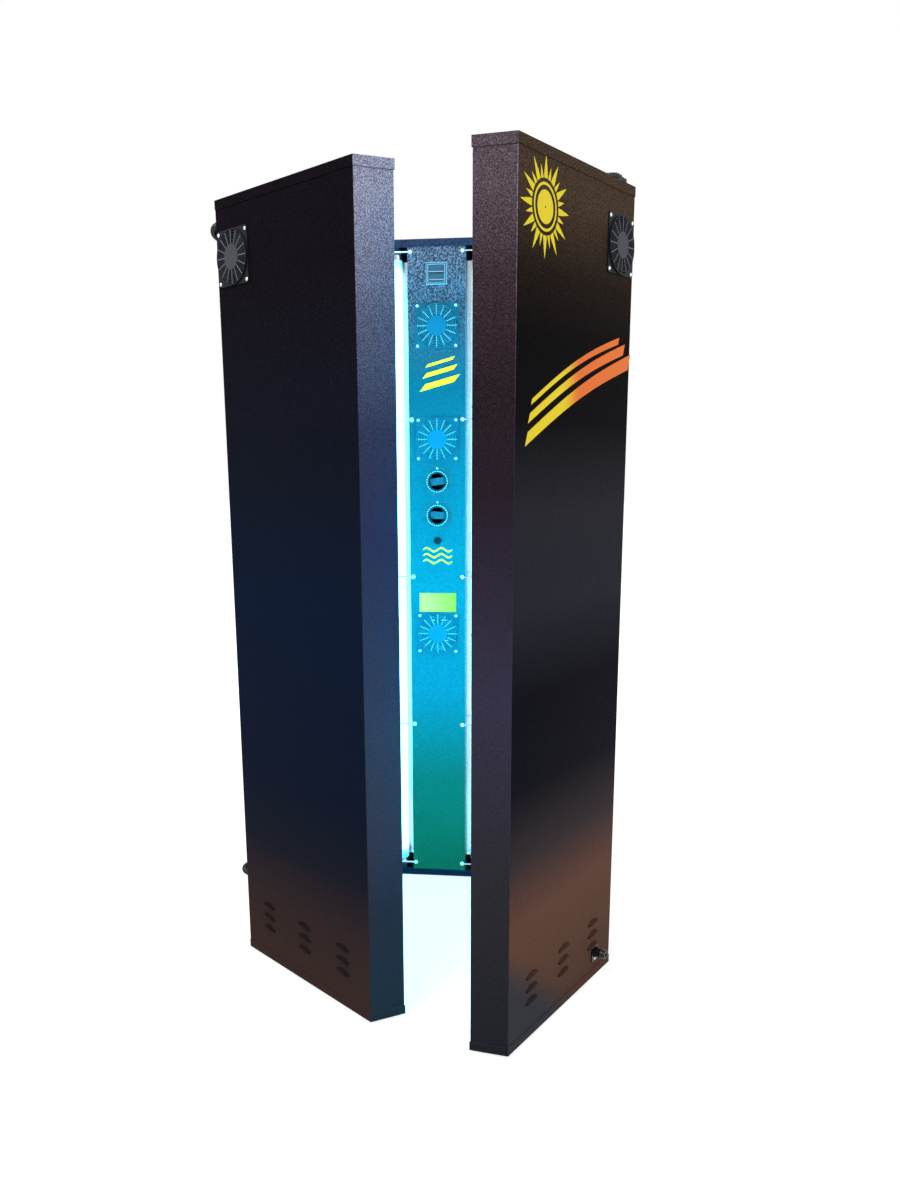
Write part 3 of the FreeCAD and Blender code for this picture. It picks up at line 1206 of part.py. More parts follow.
doc.recompute()
for thing in doc.Objects:
    if "Invalid" in thing.State or "Error" in thing.State:
        raise RuntimeError(f"{thing.Label} failed: {thing.State}")
broken = [thing.Label for thing in nodes
          if thing.Shape.isNull() or not thing.Shape.isValid() or not thing.Shape.Solids]
if broken:
    raise RuntimeError(f"no valid shape: {broken}")
for thing in nodes:
    thing.Shape.exportStep(f"parts/{thing.Label}.step")
print(len(nodes), "nodes; hinge axes at x", size.hingeHalf, "y", round(worked.hingeDeep, 2))
print("closed turn", round(worked.closedTurn.Value, 3), "side turn", round(worked.sideTurn.Value, 3))
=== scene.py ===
import json
from math import cos, pi, radians, sin

import bpy
import numpy as np
from mathutils import Matrix, Vector


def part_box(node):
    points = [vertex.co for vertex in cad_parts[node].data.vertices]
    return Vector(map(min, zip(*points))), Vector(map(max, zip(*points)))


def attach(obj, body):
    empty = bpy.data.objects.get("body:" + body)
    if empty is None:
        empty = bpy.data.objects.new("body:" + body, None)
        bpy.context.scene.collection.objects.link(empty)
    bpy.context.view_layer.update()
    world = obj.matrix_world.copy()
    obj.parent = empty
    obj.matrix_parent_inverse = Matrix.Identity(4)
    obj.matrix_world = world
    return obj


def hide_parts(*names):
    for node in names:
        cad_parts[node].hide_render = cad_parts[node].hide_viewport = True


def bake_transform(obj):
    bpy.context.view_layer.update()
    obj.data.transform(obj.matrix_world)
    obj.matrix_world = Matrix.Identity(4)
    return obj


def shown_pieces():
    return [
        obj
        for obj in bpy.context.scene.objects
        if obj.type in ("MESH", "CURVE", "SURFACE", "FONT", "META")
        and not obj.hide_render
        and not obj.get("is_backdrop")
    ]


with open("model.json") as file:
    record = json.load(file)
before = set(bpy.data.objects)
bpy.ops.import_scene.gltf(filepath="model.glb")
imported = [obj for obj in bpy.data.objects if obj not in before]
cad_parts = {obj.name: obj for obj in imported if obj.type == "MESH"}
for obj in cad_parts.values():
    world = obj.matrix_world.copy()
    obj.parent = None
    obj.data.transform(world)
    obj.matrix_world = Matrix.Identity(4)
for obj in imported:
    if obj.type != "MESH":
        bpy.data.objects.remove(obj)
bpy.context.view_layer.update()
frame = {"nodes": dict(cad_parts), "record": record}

print("frame loaded:", len(frame["nodes"]), "nodes")

# place in metres, angles in degrees, the rest in the picture's own pixels
cameraValues = {"place": (0.27816, -2.80168, 1.29736), "heading": 6.480, "lookDown": 11.973, "roll": 0.416,
                "focal": 968.854, "wide": 900, "high": 1200, "axisAcross": 426.03, "axisDown": 651.64,
                "sensor": 36}


def makeCamera(v):
    heading, down, roll = radians(v["heading"]), radians(v["lookDown"]), radians(v["roll"])
    right = Vector((cos(heading), sin(heading), 0))
    ahead = Vector((-sin(heading) * cos(down), cos(heading) * cos(down), -sin(down)))
    up = right.cross(ahead)
    across, upright = cos(roll) * right - sin(roll) * up, sin(roll) * right + cos(roll) * up
    data = bpy.data.cameras.new("camera")
    camera = bpy.data.objects.new("camera", data)
    bpy.context.collection.objects.link(camera)
    turned = Matrix((across, upright, -ahead)).transposed().to_4x4()
    camera.matrix_world = Matrix.Translation(v["place"]) @ turned
    longSide = max(v["wide"], v["high"])
    data.sensor_width = v["sensor"]
    data.lens = v["focal"] * v["sensor"] / longSide
    data.shift_x = (v["wide"] / 2 - v["axisAcross"]) / longSide
    data.shift_y = (v["axisDown"] - v["high"] / 2) / longSide
    data.clip_end = 100
    bpy.context.scene.camera = camera


makeCamera(cameraValues)


def linear(code):
    # an sRGB hex colour as linear red, green, blue and alpha
    parts = np.array([int(code[k:k + 2], 16) for k in (1, 3, 5)]) / 255
    light = np.where(parts <= 0.04045, parts / 12.92, ((parts + 0.055) / 1.055) ** 2.4)
    return (*light.tolist(), 1.0)


softStep = {"interpolation_type": "SMOOTHSTEP"}
metre = 1000  # in millimetres: noise with blotches n millimetres wide has a scale of metre / n


def setInputs(tree, node, inputs):
    # by place or by name, each takes a value, a colour code, an output, or a node for its first output
    for word, value in inputs.items() if isinstance(inputs, dict) else enumerate(inputs):
        value = value.outputs[0] if isinstance(value, bpy.types.Node) else value
        if isinstance(value, bpy.types.NodeSocket):
            tree.links.new(value, node.inputs[word])
        else:
            node.inputs[word].default_value = linear(value) if isinstance(value, str) else value


def addNode(tree, kind, inputs=(), stops=(), **settings):
    # stops, for a colour ramp, are pairs of a place from 0 to 1 and a colour code
    node = tree.nodes.new("ShaderNode" + kind)
    for word, value in settings.items():
        setattr(node, word, value)
    setInputs(tree, node, inputs)
    if stops:
        points = node.color_ramp.elements
        while len(points) < len(stops):
            points.new(0.5)
        for point, (where, code) in zip(points, stops):
            point.position, point.color = where, linear(code)
    return node


def startMaterial(name, **values):
    made = bpy.data.materials.new(name)
    made.use_nodes = True
    tree = made.node_tree
    shader = tree.nodes["Principled BSDF"]
    for word, value in values.items():
        shader.inputs[word.replace("_", " ")].default_value = value
    coords = addNode(tree, "TexCoord").outputs["Object"]
    return made, tree, shader, coords


def meshPiece(name, points, faces, material, body, smooth=True):
    mesh = bpy.data.meshes.new(name)
    mesh.from_pydata(np.reshape(points, (-1, 3)).tolist(), [], [tuple(face) for face in faces])
    mesh.update()
    mesh.polygons.foreach_set("use_smooth", np.full(len(mesh.polygons), smooth))
    piece = bpy.data.objects.new(name, mesh)
    bpy.context.collection.objects.link(piece)
    piece.data.materials.append(material)
    if body:
        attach(piece, body)
    return piece


def gridFaces(rows, columns, closed=False):
    # quads of a grid of rows by columns; closed joins the last column to the first
    last = columns if closed else columns - 1
    row, column = np.meshgrid(np.arange(rows - 1), np.arange(last), indexing="ij")
    after = (column + 1) % columns
    corners = np.stack([row * columns + column, row * columns + after,
                        (row + 1) * columns + after, (row + 1) * columns + column], axis=-1)
    return corners.reshape(-1, 4)


floorValues = {"half": 20, "glow": 0.76, "farGlow": 1.0, "near": 1.0, "far": 2.4, "colour": "#b4b3b1",
               "drop": 0.0005}


def whiteRays(tree):
    # 1 for rays that see the ground as plain white: camera, glossy and transmission rays
    path = addNode(tree, "LightPath")
    seen = addNode(tree, "Math", (path.outputs["Is Camera Ray"], path.outputs["Is Glossy Ray"]),
                   operation="MAXIMUM")
    return addNode(tree, "Math", (seen, path.outputs["Is Transmission Ray"]), operation="MAXIMUM")


def makeFloor(v):
    # matt paper: part of its white is its own, so the booth's shadow stays soft and pale
    material, tree, shader, coords = startMaterial("paper_floor", Roughness=0.9)
    shader.inputs["Base Color"].default_value = linear(v["colour"])
    shader.inputs["Specular IOR Level"].default_value = 0.1
    shader.inputs["Emission Color"].default_value = (1, 1, 1, 1)
    away = addNode(tree, "VectorMath", (coords,), operation="LENGTH").outputs["Value"]
    glow = addNode(tree, "MapRange", (away, v["near"], v["far"], v["glow"], v["farGlow"]), **softStep)
    glowPower = addNode(tree, "Math", (whiteRays(tree), glow), operation="MULTIPLY")
    setInputs(tree, shader, {"Emission Strength": glowPower})
    half, low = v["half"], -v["drop"]
    mesh = bpy.data.meshes.new("floor")
    mesh.from_pydata([(-half, -half, low), (half, -half, low), (half, half, low), (-half, half, low)], [],
                     [(0, 1, 2, 3)])
    floor = bpy.data.objects.new("floor", mesh)
    floor.data.materials.append(material)
    bpy.context.collection.objects.link(floor)
    floor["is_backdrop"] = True


worldValues = {"white": 1.0, "fill": 0.42}


def makeWorld(v):
    world = bpy.data.worlds.new("studio")
    bpy.context.scene.world = world
    world.use_nodes = True
    tree = world.node_tree
    tree.nodes.clear()
    fill = addNode(tree, "Background", {"Color": (0.92, 0.96, 1.0, 1), "Strength": v["fill"]})
    white = addNode(tree, "Background", {"Color": (1, 1, 1, 1), "Strength": v["white"]})
    both = addNode(tree, "MixShader", (whiteRays(tree), fill.outputs[0], white.outputs[0]))
    addNode(tree, "OutputWorld", {"Surface": both.outputs[0]})


# each softbox: place, what it points at, width and height in metres, power in watts
softboxes = {"key": ((-1.6, -3.4, 4.2), (0, -0.4, 1.1), 2.0, 2.0, 150),
             "side": ((3.4, -2.2, 2.6), (0, -0.4, 0.9), 1.6, 2.4, 60),
             "back": ((-1.5, 3.6, 3.4), (0, -0.2, 1.0), 2.4, 2.0, 90)}


def makeSoftbox(name, place, target, wide, high, power):
    data = bpy.data.lights.new(name, "AREA")
    data.shape = "RECTANGLE"
    data.size, data.size_y, data.energy = wide, high, power
    lamp = bpy.data.objects.new(name, data)
    lamp.location = place
    lamp.rotation_euler = (Vector(target) - Vector(place)).to_track_quat("-Z", "Y").to_euler()
    bpy.context.collection.objects.link(lamp)


makeFloor(floorValues)
makeWorld(worldValues)
for name, values in softboxes.items():
    makeSoftbox(name, *values)
bpy.context.scene.view_settings.view_transform = "Standard"
print("camera, floor and light made")

# Textured powder coat on folded sheet: baked polyester with a coarse grain and pale flecks. The flecks
# are drawn a little coarser than real ones. Its colour changes with height, in shares of the booth's
# height, and from face to face, and so paints in light: the broad outer faces are deep black, with a
# painted reflection of the floor, brown, at the foot and painted reflections of the room, bluish and
# paler bands, higher up; the narrow flared ends have a painted sheen, paler towards the top.
coatValues = {"leftOuter": ((0.0, "#40302b"), (0.10, "#36292a"), (0.18, "#1a1d28"), (0.28, "#0f182b"),
                            (0.52, "#0e1a30"), (0.66, "#111622"), (0.90, "#110d13")),
              "rightOuter": ((0.0, "#583f35"), (0.05, "#604438"), (0.10, "#66493c"), (0.16, "#6b4b3f"),
                             (0.24, "#3a3236"), (0.32, "#10111a"), (0.43, "#0c0d16"), (0.53, "#292a33"),
                             (0.63, "#2b2a32"), (0.73, "#0d0c0f"), (0.82, "#0c0a0b"), (0.88, "#1f1713"),
                             (0.96, "#43352a")),
              "leftEnd": ((0.0, "#27323a"), (0.14, "#2c2e37"), (0.26, "#393743"), (0.37, "#373b49"),
                          (0.60, "#2f2f46"), (0.72, "#353142"), (0.84, "#54505f"), (0.96, "#858090")),
              "rightEnd": ((0.0, "#26272d"), (0.22, "#302f34"), (0.43, "#383549"), (0.66, "#281e27"),
                           (0.76, "#261d23"), (0.87, "#35292f"), (0.96, "#4e434a")),
              "corner": {"from": 0.236, "wide": 0.124, "tall": 0.20, "behind": -0.45, "shade": "#3d3e45"},
              "louvres": {"low": 0.045, "high": 0.125, "slope": 0.12, "shade": 0.45}, "tall": 1.843,
              "fleckDark": 0.62, "fleckPale": 2.1, "fleckSize": 2.1, "calmBelow": 0.62, "calm": 0.22,
              "grain": 5.0, "bump": 0.0008, "rough": 0.42, "roughGrain": 0.16, "reflect": 0.006}


def powderCoat(name, v, **changes):
    v = dict(v, **changes)
    material, tree, shader, coords = startMaterial(name)
    shader.inputs["Specular IOR Level"].default_value = v["reflect"]
    grain = addNode(tree, "TexNoise", {"Vector": coords, "Scale": metre / v["grain"], "Detail": 3.0})
    place = addNode(tree, "SeparateXYZ", {"Vector": coords})
    share = addNode(tree, "Math", (place.outputs["Z"], v["tall"]), operation="DIVIDE")
    normal = addNode(tree, "TexCoord").outputs["Normal"]
    facing = addNode(tree, "SeparateXYZ", {"Vector": normal})
    toRight = addNode(tree, "MapRange", (facing.outputs["X"], -0.1, 0.1), **softStep)
    flared = addNode(tree, "MapRange", (facing.outputs["Y"], -0.80, -0.84), **softStep)
    # the right wing's outer face turns grey below a slanted line near its free corner, in place of its
    # painted floor reflection
    corner, louvres = v["corner"], v["louvres"]
    aside = addNode(tree, "Math", (addNode(tree, "Math", (place.outputs["X"], corner["from"]),
                                           operation="SUBTRACT"), corner["wide"]), operation="DIVIDE")
    slant = addNode(tree, "Math", (addNode(tree, "Math", (place.outputs["Z"], corner["tall"]),
                                           operation="DIVIDE"), aside), operation="ADD")
    greyCorner = addNode(tree, "Math", (addNode(tree, "MapRange", (slant, 1.35, 0.75), **softStep),
                                   addNode(tree, "Math", (place.outputs["Y"], corner["behind"]),
                                           operation="LESS_THAN")), operation="MULTIPLY")
    right = addNode(tree, "Mix", {0: greyCorner, 6: addNode(tree, "ValToRGB", (share,), v["rightOuter"]),
                                  7: corner["shade"]}, data_type="RGBA").outputs[2]
    outer = addNode(tree, "Mix", {0: toRight, 6: addNode(tree, "ValToRGB", (share,), v["leftOuter"]),
                                  7: right}, data_type="RGBA").outputs[2]
    ends = addNode(tree, "Mix", {0: toRight, 6: addNode(tree, "ValToRGB", (share,), v["rightEnd"]),
                                 7: addNode(tree, "ValToRGB", (share,), v["leftEnd"])},
                   data_type="RGBA").outputs[2]
    colour = addNode(tree, "Mix", {0: flared, 6: outer, 7: ends}, data_type="RGBA").outputs[2]
    # flecks: dark and pale blotches of the grain, a painted highlight that is strongest towards the top,
    # where the coat is lit from above
    fleck = addNode(tree, "MapRange", (addNode(tree, "TexNoise",
                                               {"Vector": coords, "Scale": metre / v["fleckSize"],
                                                "Detail": 1.0}), 0.38, 0.68, v["fleckDark"],
                                       v["fleckPale"]), **softStep)
    calm = addNode(tree, "MapRange", (share, v["calmBelow"], 0.9, v["calm"], 1.0), **softStep)
    fleck = addNode(tree, "Math", (addNode(tree, "Math",
                                           (addNode(tree, "Math", (fleck, 1.0), operation="SUBTRACT"),
                                            calm), operation="MULTIPLY"), 1.0), operation="ADD")
    # painted shade: the louvres' drawn hoods are darkened
    hoodShade = addNode(tree, "Math", (addNode(tree, "Math", (facing.outputs["Z"], 0.0), operation="ABSOLUTE"),
                                  louvres["slope"]), operation="GREATER_THAN")
    hoodShade = addNode(tree, "Math", (hoodShade, addNode(tree, "Math", (share, louvres["high"]),
                                                operation="LESS_THAN")), operation="MULTIPLY")
    hoodShade = addNode(tree, "Math", (hoodShade, addNode(tree, "Math", (share, louvres["low"]),
                                                operation="GREATER_THAN")), operation="MULTIPLY")
    fleck = addNode(tree, "Math", (fleck, addNode(tree, "MapRange",
                                                  (hoodShade, 0.0, 1.0, 1.0, louvres["shade"]), **softStep)),
                    operation="MULTIPLY")
    bright = addNode(tree, "VectorMath", {0: colour, "Scale": fleck}, operation="SCALE")
    rough = addNode(tree, "MapRange", (grain, 0.3, 0.7, v["rough"] - v["roughGrain"] / 2,
                                       v["rough"] + v["roughGrain"] / 2), **softStep)
    relief = addNode(tree, "Bump", {"Height": grain, "Distance": v["bump"], "Strength": 0.7})
    setInputs(tree, shader, {"Base Color": bright, "Roughness": rough, "Normal": relief})
    return material


# the fascia's coat: the same grain; the lamps light it, its teal shades add painted cyan lamp light, and its
# grey-brown top paints in the room's paler light above the lamps' reach
fasciaValues = {"shades": ((0.0, "#083620"), (0.18, "#083428"), (0.33, "#083e42"), (0.5, "#054144"),
                           (0.8, "#073439"), (0.9, "#3a2f35"), (1.0, "#51393d")),
                "tall": 1.843, "fleckSize": 3.4, "fleckDark": 0.4, "fleckPale": 2.5, "calmBelow": 0.80,
                "calm": 0.12, "grain": 5.0, "bump": 0.0006, "rough": 0.45, "reflect": 0.06}


def fasciaCoat(name, v):
    material, tree, shader, coords = startMaterial(name, Roughness=v["rough"])
    shader.inputs["Specular IOR Level"].default_value = v["reflect"]
    share = addNode(tree, "Math", (addNode(tree, "SeparateXYZ", {"Vector": coords}).outputs["Z"],
                                   v["tall"]), operation="DIVIDE")
    # flecks: a painted highlight of the grain, strongest towards the top
    fleck = addNode(tree, "MapRange", (addNode(tree, "TexNoise",
                                               {"Vector": coords, "Scale": metre / v["fleckSize"],
                                                "Detail": 1.0}), 0.38, 0.66, v["fleckDark"],
                                       v["fleckPale"]), **softStep)
    calm = addNode(tree, "MapRange", (share, v["calmBelow"], 0.94, v["calm"], 1.0), **softStep)
    fleck = addNode(tree, "Math", (addNode(tree, "Math",
                                           (addNode(tree, "Math", (fleck, 1.0), operation="SUBTRACT"),
                                            calm), operation="MULTIPLY"), 1.0), operation="ADD")
    shade = addNode(tree, "ValToRGB", (share,), v["shades"])
    bright = addNode(tree, "VectorMath", {0: shade, "Scale": fleck}, operation="SCALE")
    bumps = addNode(tree, "TexNoise", {"Vector": coords, "Scale": metre / v["grain"], "Detail": 3.0})
    relief = addNode(tree, "Bump", {"Height": bumps, "Distance": v["bump"], "Strength": 0.6})
    setInputs(tree, shader, {"Base Color": bright, "Normal": relief})
    return material


# lit fluorescent glass: phosphor glows over the whole length but for a dark band at each cap,
# and the caps are pressed aluminium
tubeValues = {"light": "#00d0ff", "strength": 15.5, "core": "#f2fffe", "rim": "#46f2f0", "shine": 1.12,
              "mirror": "#9af4ff", "mirrorShine": 2.4, "pinLong": 0.007, "capLong": 0.012, "band": 0.045,
              "dimLong": 0.32, "dimTo": 0.15, "glass": "#dfeaf0", "cap": "#b9bcc0"}


def fluorescentTube(v):
    material, tree, shader, coords = startMaterial("fluorescent_glass", Roughness=0.25)
    low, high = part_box("left_wing_lamps")
    z = addNode(tree, "SeparateXYZ", {"Vector": coords}).outputs["Z"]
    start, end = low.z + v["pinLong"] + v["capLong"], high.z - v["pinLong"] - v["capLong"]
    rise = addNode(tree, "MapRange", (z, start + 0.2 * v["band"], start + v["band"]), **softStep)
    fall = addNode(tree, "MapRange", (z, end - 0.2 * v["band"], end - v["band"]), **softStep)
    lit = addNode(tree, "Math", (rise, fall), operation="MULTIPLY")
    glass = addNode(tree, "Math", (addNode(tree, "Math", (z, start), operation="GREATER_THAN"),
                                   addNode(tree, "Math", (z, end), operation="LESS_THAN")),
                    operation="MULTIPLY")
    baseColour = addNode(tree, "Mix", {0: glass, 6: v["cap"], 7: v["glass"]}, data_type="RGBA").outputs[2]
    metallic = addNode(tree, "Math", (1.0, glass), operation="SUBTRACT")
    setInputs(tree, shader, {"Base Color": baseColour, "Metallic": metallic})
    # the eye sees the glass white with a cyan rim, mirrors see it cyan, and what it throws is deeper cyan
    path = addNode(tree, "LightPath")
    seen, mirrored = path.outputs["Is Camera Ray"], path.outputs["Is Glossy Ray"]
    edge = addNode(tree, "MapRange", (addNode(tree, "LayerWeight", {"Blend": 0.5}).outputs["Facing"],
                                      0.72, 1.0), **softStep)
    looks = addNode(tree, "Mix", {0: edge, 6: v["core"], 7: v["rim"]}, data_type="RGBA").outputs[2]
    thrown = addNode(tree, "Mix", {0: mirrored, 6: v["light"], 7: v["mirror"]}, data_type="RGBA").outputs[2]
    glowColour = addNode(tree, "Mix", {0: seen, 6: thrown, 7: looks}, data_type="RGBA").outputs[2]
    setInputs(tree, shader, {"Emission Color": glowColour})
    power = addNode(tree, "MapRange", (z, end - v["dimLong"], end, v["strength"],
                                       v["strength"] * v["dimTo"]), **softStep)
    for way, most in ((mirrored, v["mirrorShine"]), (seen, v["shine"])):
        power = addNode(tree, "MapRange", {"To Max": most, "Value": way, "To Min": power}).outputs["Result"]
    glowPower = addNode(tree, "Math", (power, lit), operation="MULTIPLY")
    setInputs(tree, shader, {"Emission Strength": glowPower})
    return material


def rolledReflector(name, colour="#d9dde0", rough=0.22):
    # bright rolled aluminium: fine lines along the rolling direction, which stands upright
    material, tree, shader, coords = startMaterial(name, Metallic=1.0)
    lines = addNode(tree, "TexNoise", {"Vector": addNode(tree, "Mapping",
                                                         {"Vector": coords, "Scale": (1, 1, 0.01)}),
                                       "Scale": metre / 2.0, "Detail": 2.0})
    baseColour = addNode(tree, "Mix", {0: lines, 6: colour, 7: "#b9bec4"}, data_type="RGBA").outputs[2]
    roughness = addNode(tree, "MapRange", (lines, 0.3, 0.7, rough - 0.06, rough + 0.08), **softStep)
    relief = addNode(tree, "Bump", {"Height": lines, "Distance": 0.0001, "Strength": 0.3})
    setInputs(tree, shader, {"Base Color": baseColour, "Roughness": roughness, "Normal": relief})
    return material


def mouldedPlastic(name, colour, light, grain=1.5, rough=0.45, bump=0.0002, reflect=0.5):
    # injection-moulded ABS or nylon: eroded-tool grain and faint flow marks
    material, tree, shader, coords = startMaterial(name)
    shader.inputs["Specular IOR Level"].default_value = reflect
    flow = addNode(tree, "TexNoise", {"Vector": coords, "Scale": metre / 22, "Detail": 3.0})
    fine = addNode(tree, "TexNoise", {"Vector": coords, "Scale": metre / grain, "Detail": 2.0})
    baseColour = addNode(tree, "Mix", {0: addNode(tree, "MapRange", (flow, 0.35, 0.7), **softStep),
                                       6: colour, 7: light}, data_type="RGBA").outputs[2]
    roughness = addNode(tree, "MapRange", (fine, 0.3, 0.7, rough - 0.06, rough + 0.08), **softStep)
    relief = addNode(tree, "Bump", {"Height": fine, "Distance": bump, "Strength": 0.5})
    setInputs(tree, shader, {"Base Color": baseColour, "Roughness": roughness, "Normal": relief})
    return material


# fan guards of moulded ABS: the plate is dull; the ribs, too fine to catch light themselves, carry a painted
# highlight, pale, and the fascia's guards are tinted teal with painted lamp light
guardValues = {"discTo": 0.0275, "ribsTo": 0.0568, "spokes": 16, "spokeHalf": 0.0009, "grain": 1.5}
wingGuard = {"plate": "#1b1c20", "rings": "#303138", "spokes": "#74767f", "disc": "#46474e"}
fasciaGuard = {"plate": "#0e3a42", "rings": "#3a6068", "spokes": "#5f7f88", "disc": "#084350"}


def guardPlastic(name, places, across, v, colours):
    # colours by the distance from the fan's middle and by the angle about it; across lies in the panel
    material, tree, shader, coords = startMaterial(name, Roughness=0.42)
    shader.inputs["Specular IOR Level"].default_value = 0.08
    nearest = aside = None
    for middle in places:
        out = addNode(tree, "VectorMath", (coords, middle), operation="SUBTRACT").outputs["Vector"]
        away = addNode(tree, "VectorMath", (out,), operation="LENGTH").outputs["Value"]
        x = addNode(tree, "VectorMath", (out, across), operation="DOT_PRODUCT").outputs["Value"]
        turn = addNode(tree, "Math", (addNode(tree, "SeparateXYZ", {"Vector": out}).outputs["Z"], x),
                       operation="ARCTAN2")
        wave = addNode(tree, "Math", (addNode(tree, "Math", (turn, v["spokes"] / 2),
                                              operation="MULTIPLY"), 0.0), operation="SINE")
        off = addNode(tree, "Math", (addNode(tree, "Math", (wave, 0.0), operation="ABSOLUTE"), away),
                      operation="MULTIPLY")
        if nearest is None:
            nearest, aside = away, off
        else:
            closer = addNode(tree, "Math", (away, nearest), operation="LESS_THAN")
            aside = addNode(tree, "MapRange", {"Value": closer, "To Min": aside, "To Max": off})
            aside = aside.outputs["Result"]
            nearest = addNode(tree, "Math", (nearest, away), operation="MINIMUM")
    spoke = addNode(tree, "Math", (aside, v["spokeHalf"] * v["spokes"] / 2), operation="LESS_THAN")
    ribs = addNode(tree, "Mix", {0: spoke, 6: colours["rings"], 7: colours["spokes"]},
                   data_type="RGBA").outputs[2]
    inside = addNode(tree, "Mix", {0: addNode(tree, "Math", (nearest, v["discTo"]),
                                              operation="GREATER_THAN"), 6: colours["disc"], 7: ribs},
                     data_type="RGBA").outputs[2]
    plate = addNode(tree, "Math", (nearest, v["ribsTo"]), operation="GREATER_THAN")
    baseColour = addNode(tree, "Mix", {0: plate, 6: inside, 7: colours["plate"]}, data_type="RGBA").outputs[2]
    bumps = addNode(tree, "TexNoise", {"Vector": coords, "Scale": metre / v["grain"], "Detail": 2.0})
    relief = addNode(tree, "Bump", {"Height": bumps, "Distance": 0.0002, "Strength": 0.5})
    setInputs(tree, shader, {"Base Color": baseColour, "Normal": relief})
    return material


def middleOf(node):
    low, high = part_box(node)
    return (low + high) / 2


def alongWing(side):
    # the direction along a wing's outer face, from its fan guard's box, which the wing's turn makes oblong
    low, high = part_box(f"{side}_wing_fan_guard")
    way = Vector((high.x - low.x, (high.y - low.y) * (1 if side == "right" else -1), 0))
    return way.normalized()


# switch frame and rockers of glass-filled polyamide: dull, with painted highlights, pale lines along the
# edges that stand out
switchValues = {"high": 1.7546, "border": (0.0221, 0.0236), "rimFrom": 0.0268, "lineHalf": 0.0010,
                "lines": {"upper": 0.0042, "lower": -0.0165}, "frame": "#322c31", "edge": "#8d8488",
                "key": "#33363c"}


def switchPlastic(name, v, ground, line=None):
    material, tree, shader, coords = startMaterial(name, Roughness=0.4)
    shader.inputs["Specular IOR Level"].default_value = 0.2
    out = addNode(tree, "VectorMath", (coords, (0, 0, v["high"])), operation="SUBTRACT")
    out = out.outputs["Vector"]
    if line is None:
        sides = addNode(tree, "VectorMath", (out,), operation="ABSOLUTE").outputs["Vector"]
        sides = addNode(tree, "SeparateXYZ", {"Vector": sides})
        reach = addNode(tree, "Math", (sides.outputs["X"], sides.outputs["Z"]), operation="MAXIMUM")
        border = addNode(tree, "Math", (addNode(tree, "Math", (reach, v["border"][0]),
                                                operation="GREATER_THAN"),
                                        addNode(tree, "Math", (reach, v["border"][1]),
                                                operation="LESS_THAN")), operation="MULTIPLY")
        edge = addNode(tree, "Math", (border, addNode(tree, "Math", (reach, v["rimFrom"]),
                                                      operation="GREATER_THAN")), operation="MAXIMUM")
    else:
        high = addNode(tree, "SeparateXYZ", {"Vector": out}).outputs["Z"]
        off = addNode(tree, "Math", (addNode(tree, "Math", (high, v["lines"][line]),
                                             operation="SUBTRACT"), 0.0), operation="ABSOLUTE")
        edge = addNode(tree, "Math", (off, v["lineHalf"]), operation="LESS_THAN")
    # the edge mask draws these painted highlights
    baseColour = addNode(tree, "Mix", {0: edge, 6: ground, 7: v["edge"]}, data_type="RGBA").outputs[2]
    setInputs(tree, shader, {"Base Color": baseColour})
    return material


# nozzle sleeve of ABS: black, tinted dark teal with painted lamp light, with painted glints, pale, on the
# crests of its knurl
sleeveValues = {"places": (1.1993, 1.1045), "crest": 0.0279, "pitches": 26, "share": 0.0, "ground": "#061f23",
                "knurlGlint": "#a8c0c4"}


def sleevePlastic(name, v):
    material, tree, shader, coords = startMaterial(name, Roughness=0.4)
    shader.inputs["Specular IOR Level"].default_value = 0.2
    parts = addNode(tree, "SeparateXYZ", {"Vector": coords})
    upper = addNode(tree, "Math", (parts.outputs["Z"], sum(v["places"]) / 2), operation="GREATER_THAN")
    middle = addNode(tree, "MapRange", {"To Min": v["places"][1], "To Max": v["places"][0], "Value": upper})
    high = addNode(tree, "Math", (parts.outputs["Z"], middle.outputs["Result"]), operation="SUBTRACT")
    radius = addNode(tree, "Math", (addNode(tree, "Math",
                                            (addNode(tree, "Math", (high, high), operation="MULTIPLY"),
                                             addNode(tree, "Math",
                                                     (parts.outputs["X"], parts.outputs["X"]),
                                                     operation="MULTIPLY")), operation="ADD"), 0.0),
                     operation="SQRT")
    turn = addNode(tree, "Math", (high, parts.outputs["X"]), operation="ARCTAN2")
    wave = addNode(tree, "Math", (addNode(tree, "Math", (turn, float(v["pitches"])),
                                          operation="MULTIPLY"), 0.0), operation="SINE")
    # painted glints on the knurl's crests
    crest = addNode(tree, "Math", (addNode(tree, "Math", (radius, v["crest"]), operation="GREATER_THAN"),
                                   addNode(tree, "Math", (wave, v["share"]), operation="GREATER_THAN")),
                    operation="MULTIPLY")
    baseColour = addNode(tree, "Mix", {0: crest, 6: v["ground"], 7: v["knurlGlint"]}, data_type="RGBA").outputs[2]
    setInputs(tree, shader, {"Base Color": baseColour})
    return material


def platedSteel(name, colour="#d6d8dc", rough=0.14):
    # nickel-plated wire and screws: bright, with drawn scratches
    material, tree, shader, coords = startMaterial(name, Metallic=1.0)
    scratch = addNode(tree, "TexNoise", {"Vector": addNode(tree, "Mapping",
                                                           {"Vector": coords, "Scale": (1, 1, 4)}),
                                         "Scale": metre / 1.2, "Detail": 3.0})
    baseColour = addNode(tree, "Mix", {0: scratch, 6: colour, 7: "#aeb2b8"}, data_type="RGBA").outputs[2]
    roughness = addNode(tree, "MapRange", (scratch, 0.3, 0.7, rough - 0.05, rough + 0.1), **softStep)
    setInputs(tree, shader, {"Base Color": baseColour, "Roughness": roughness})
    return material


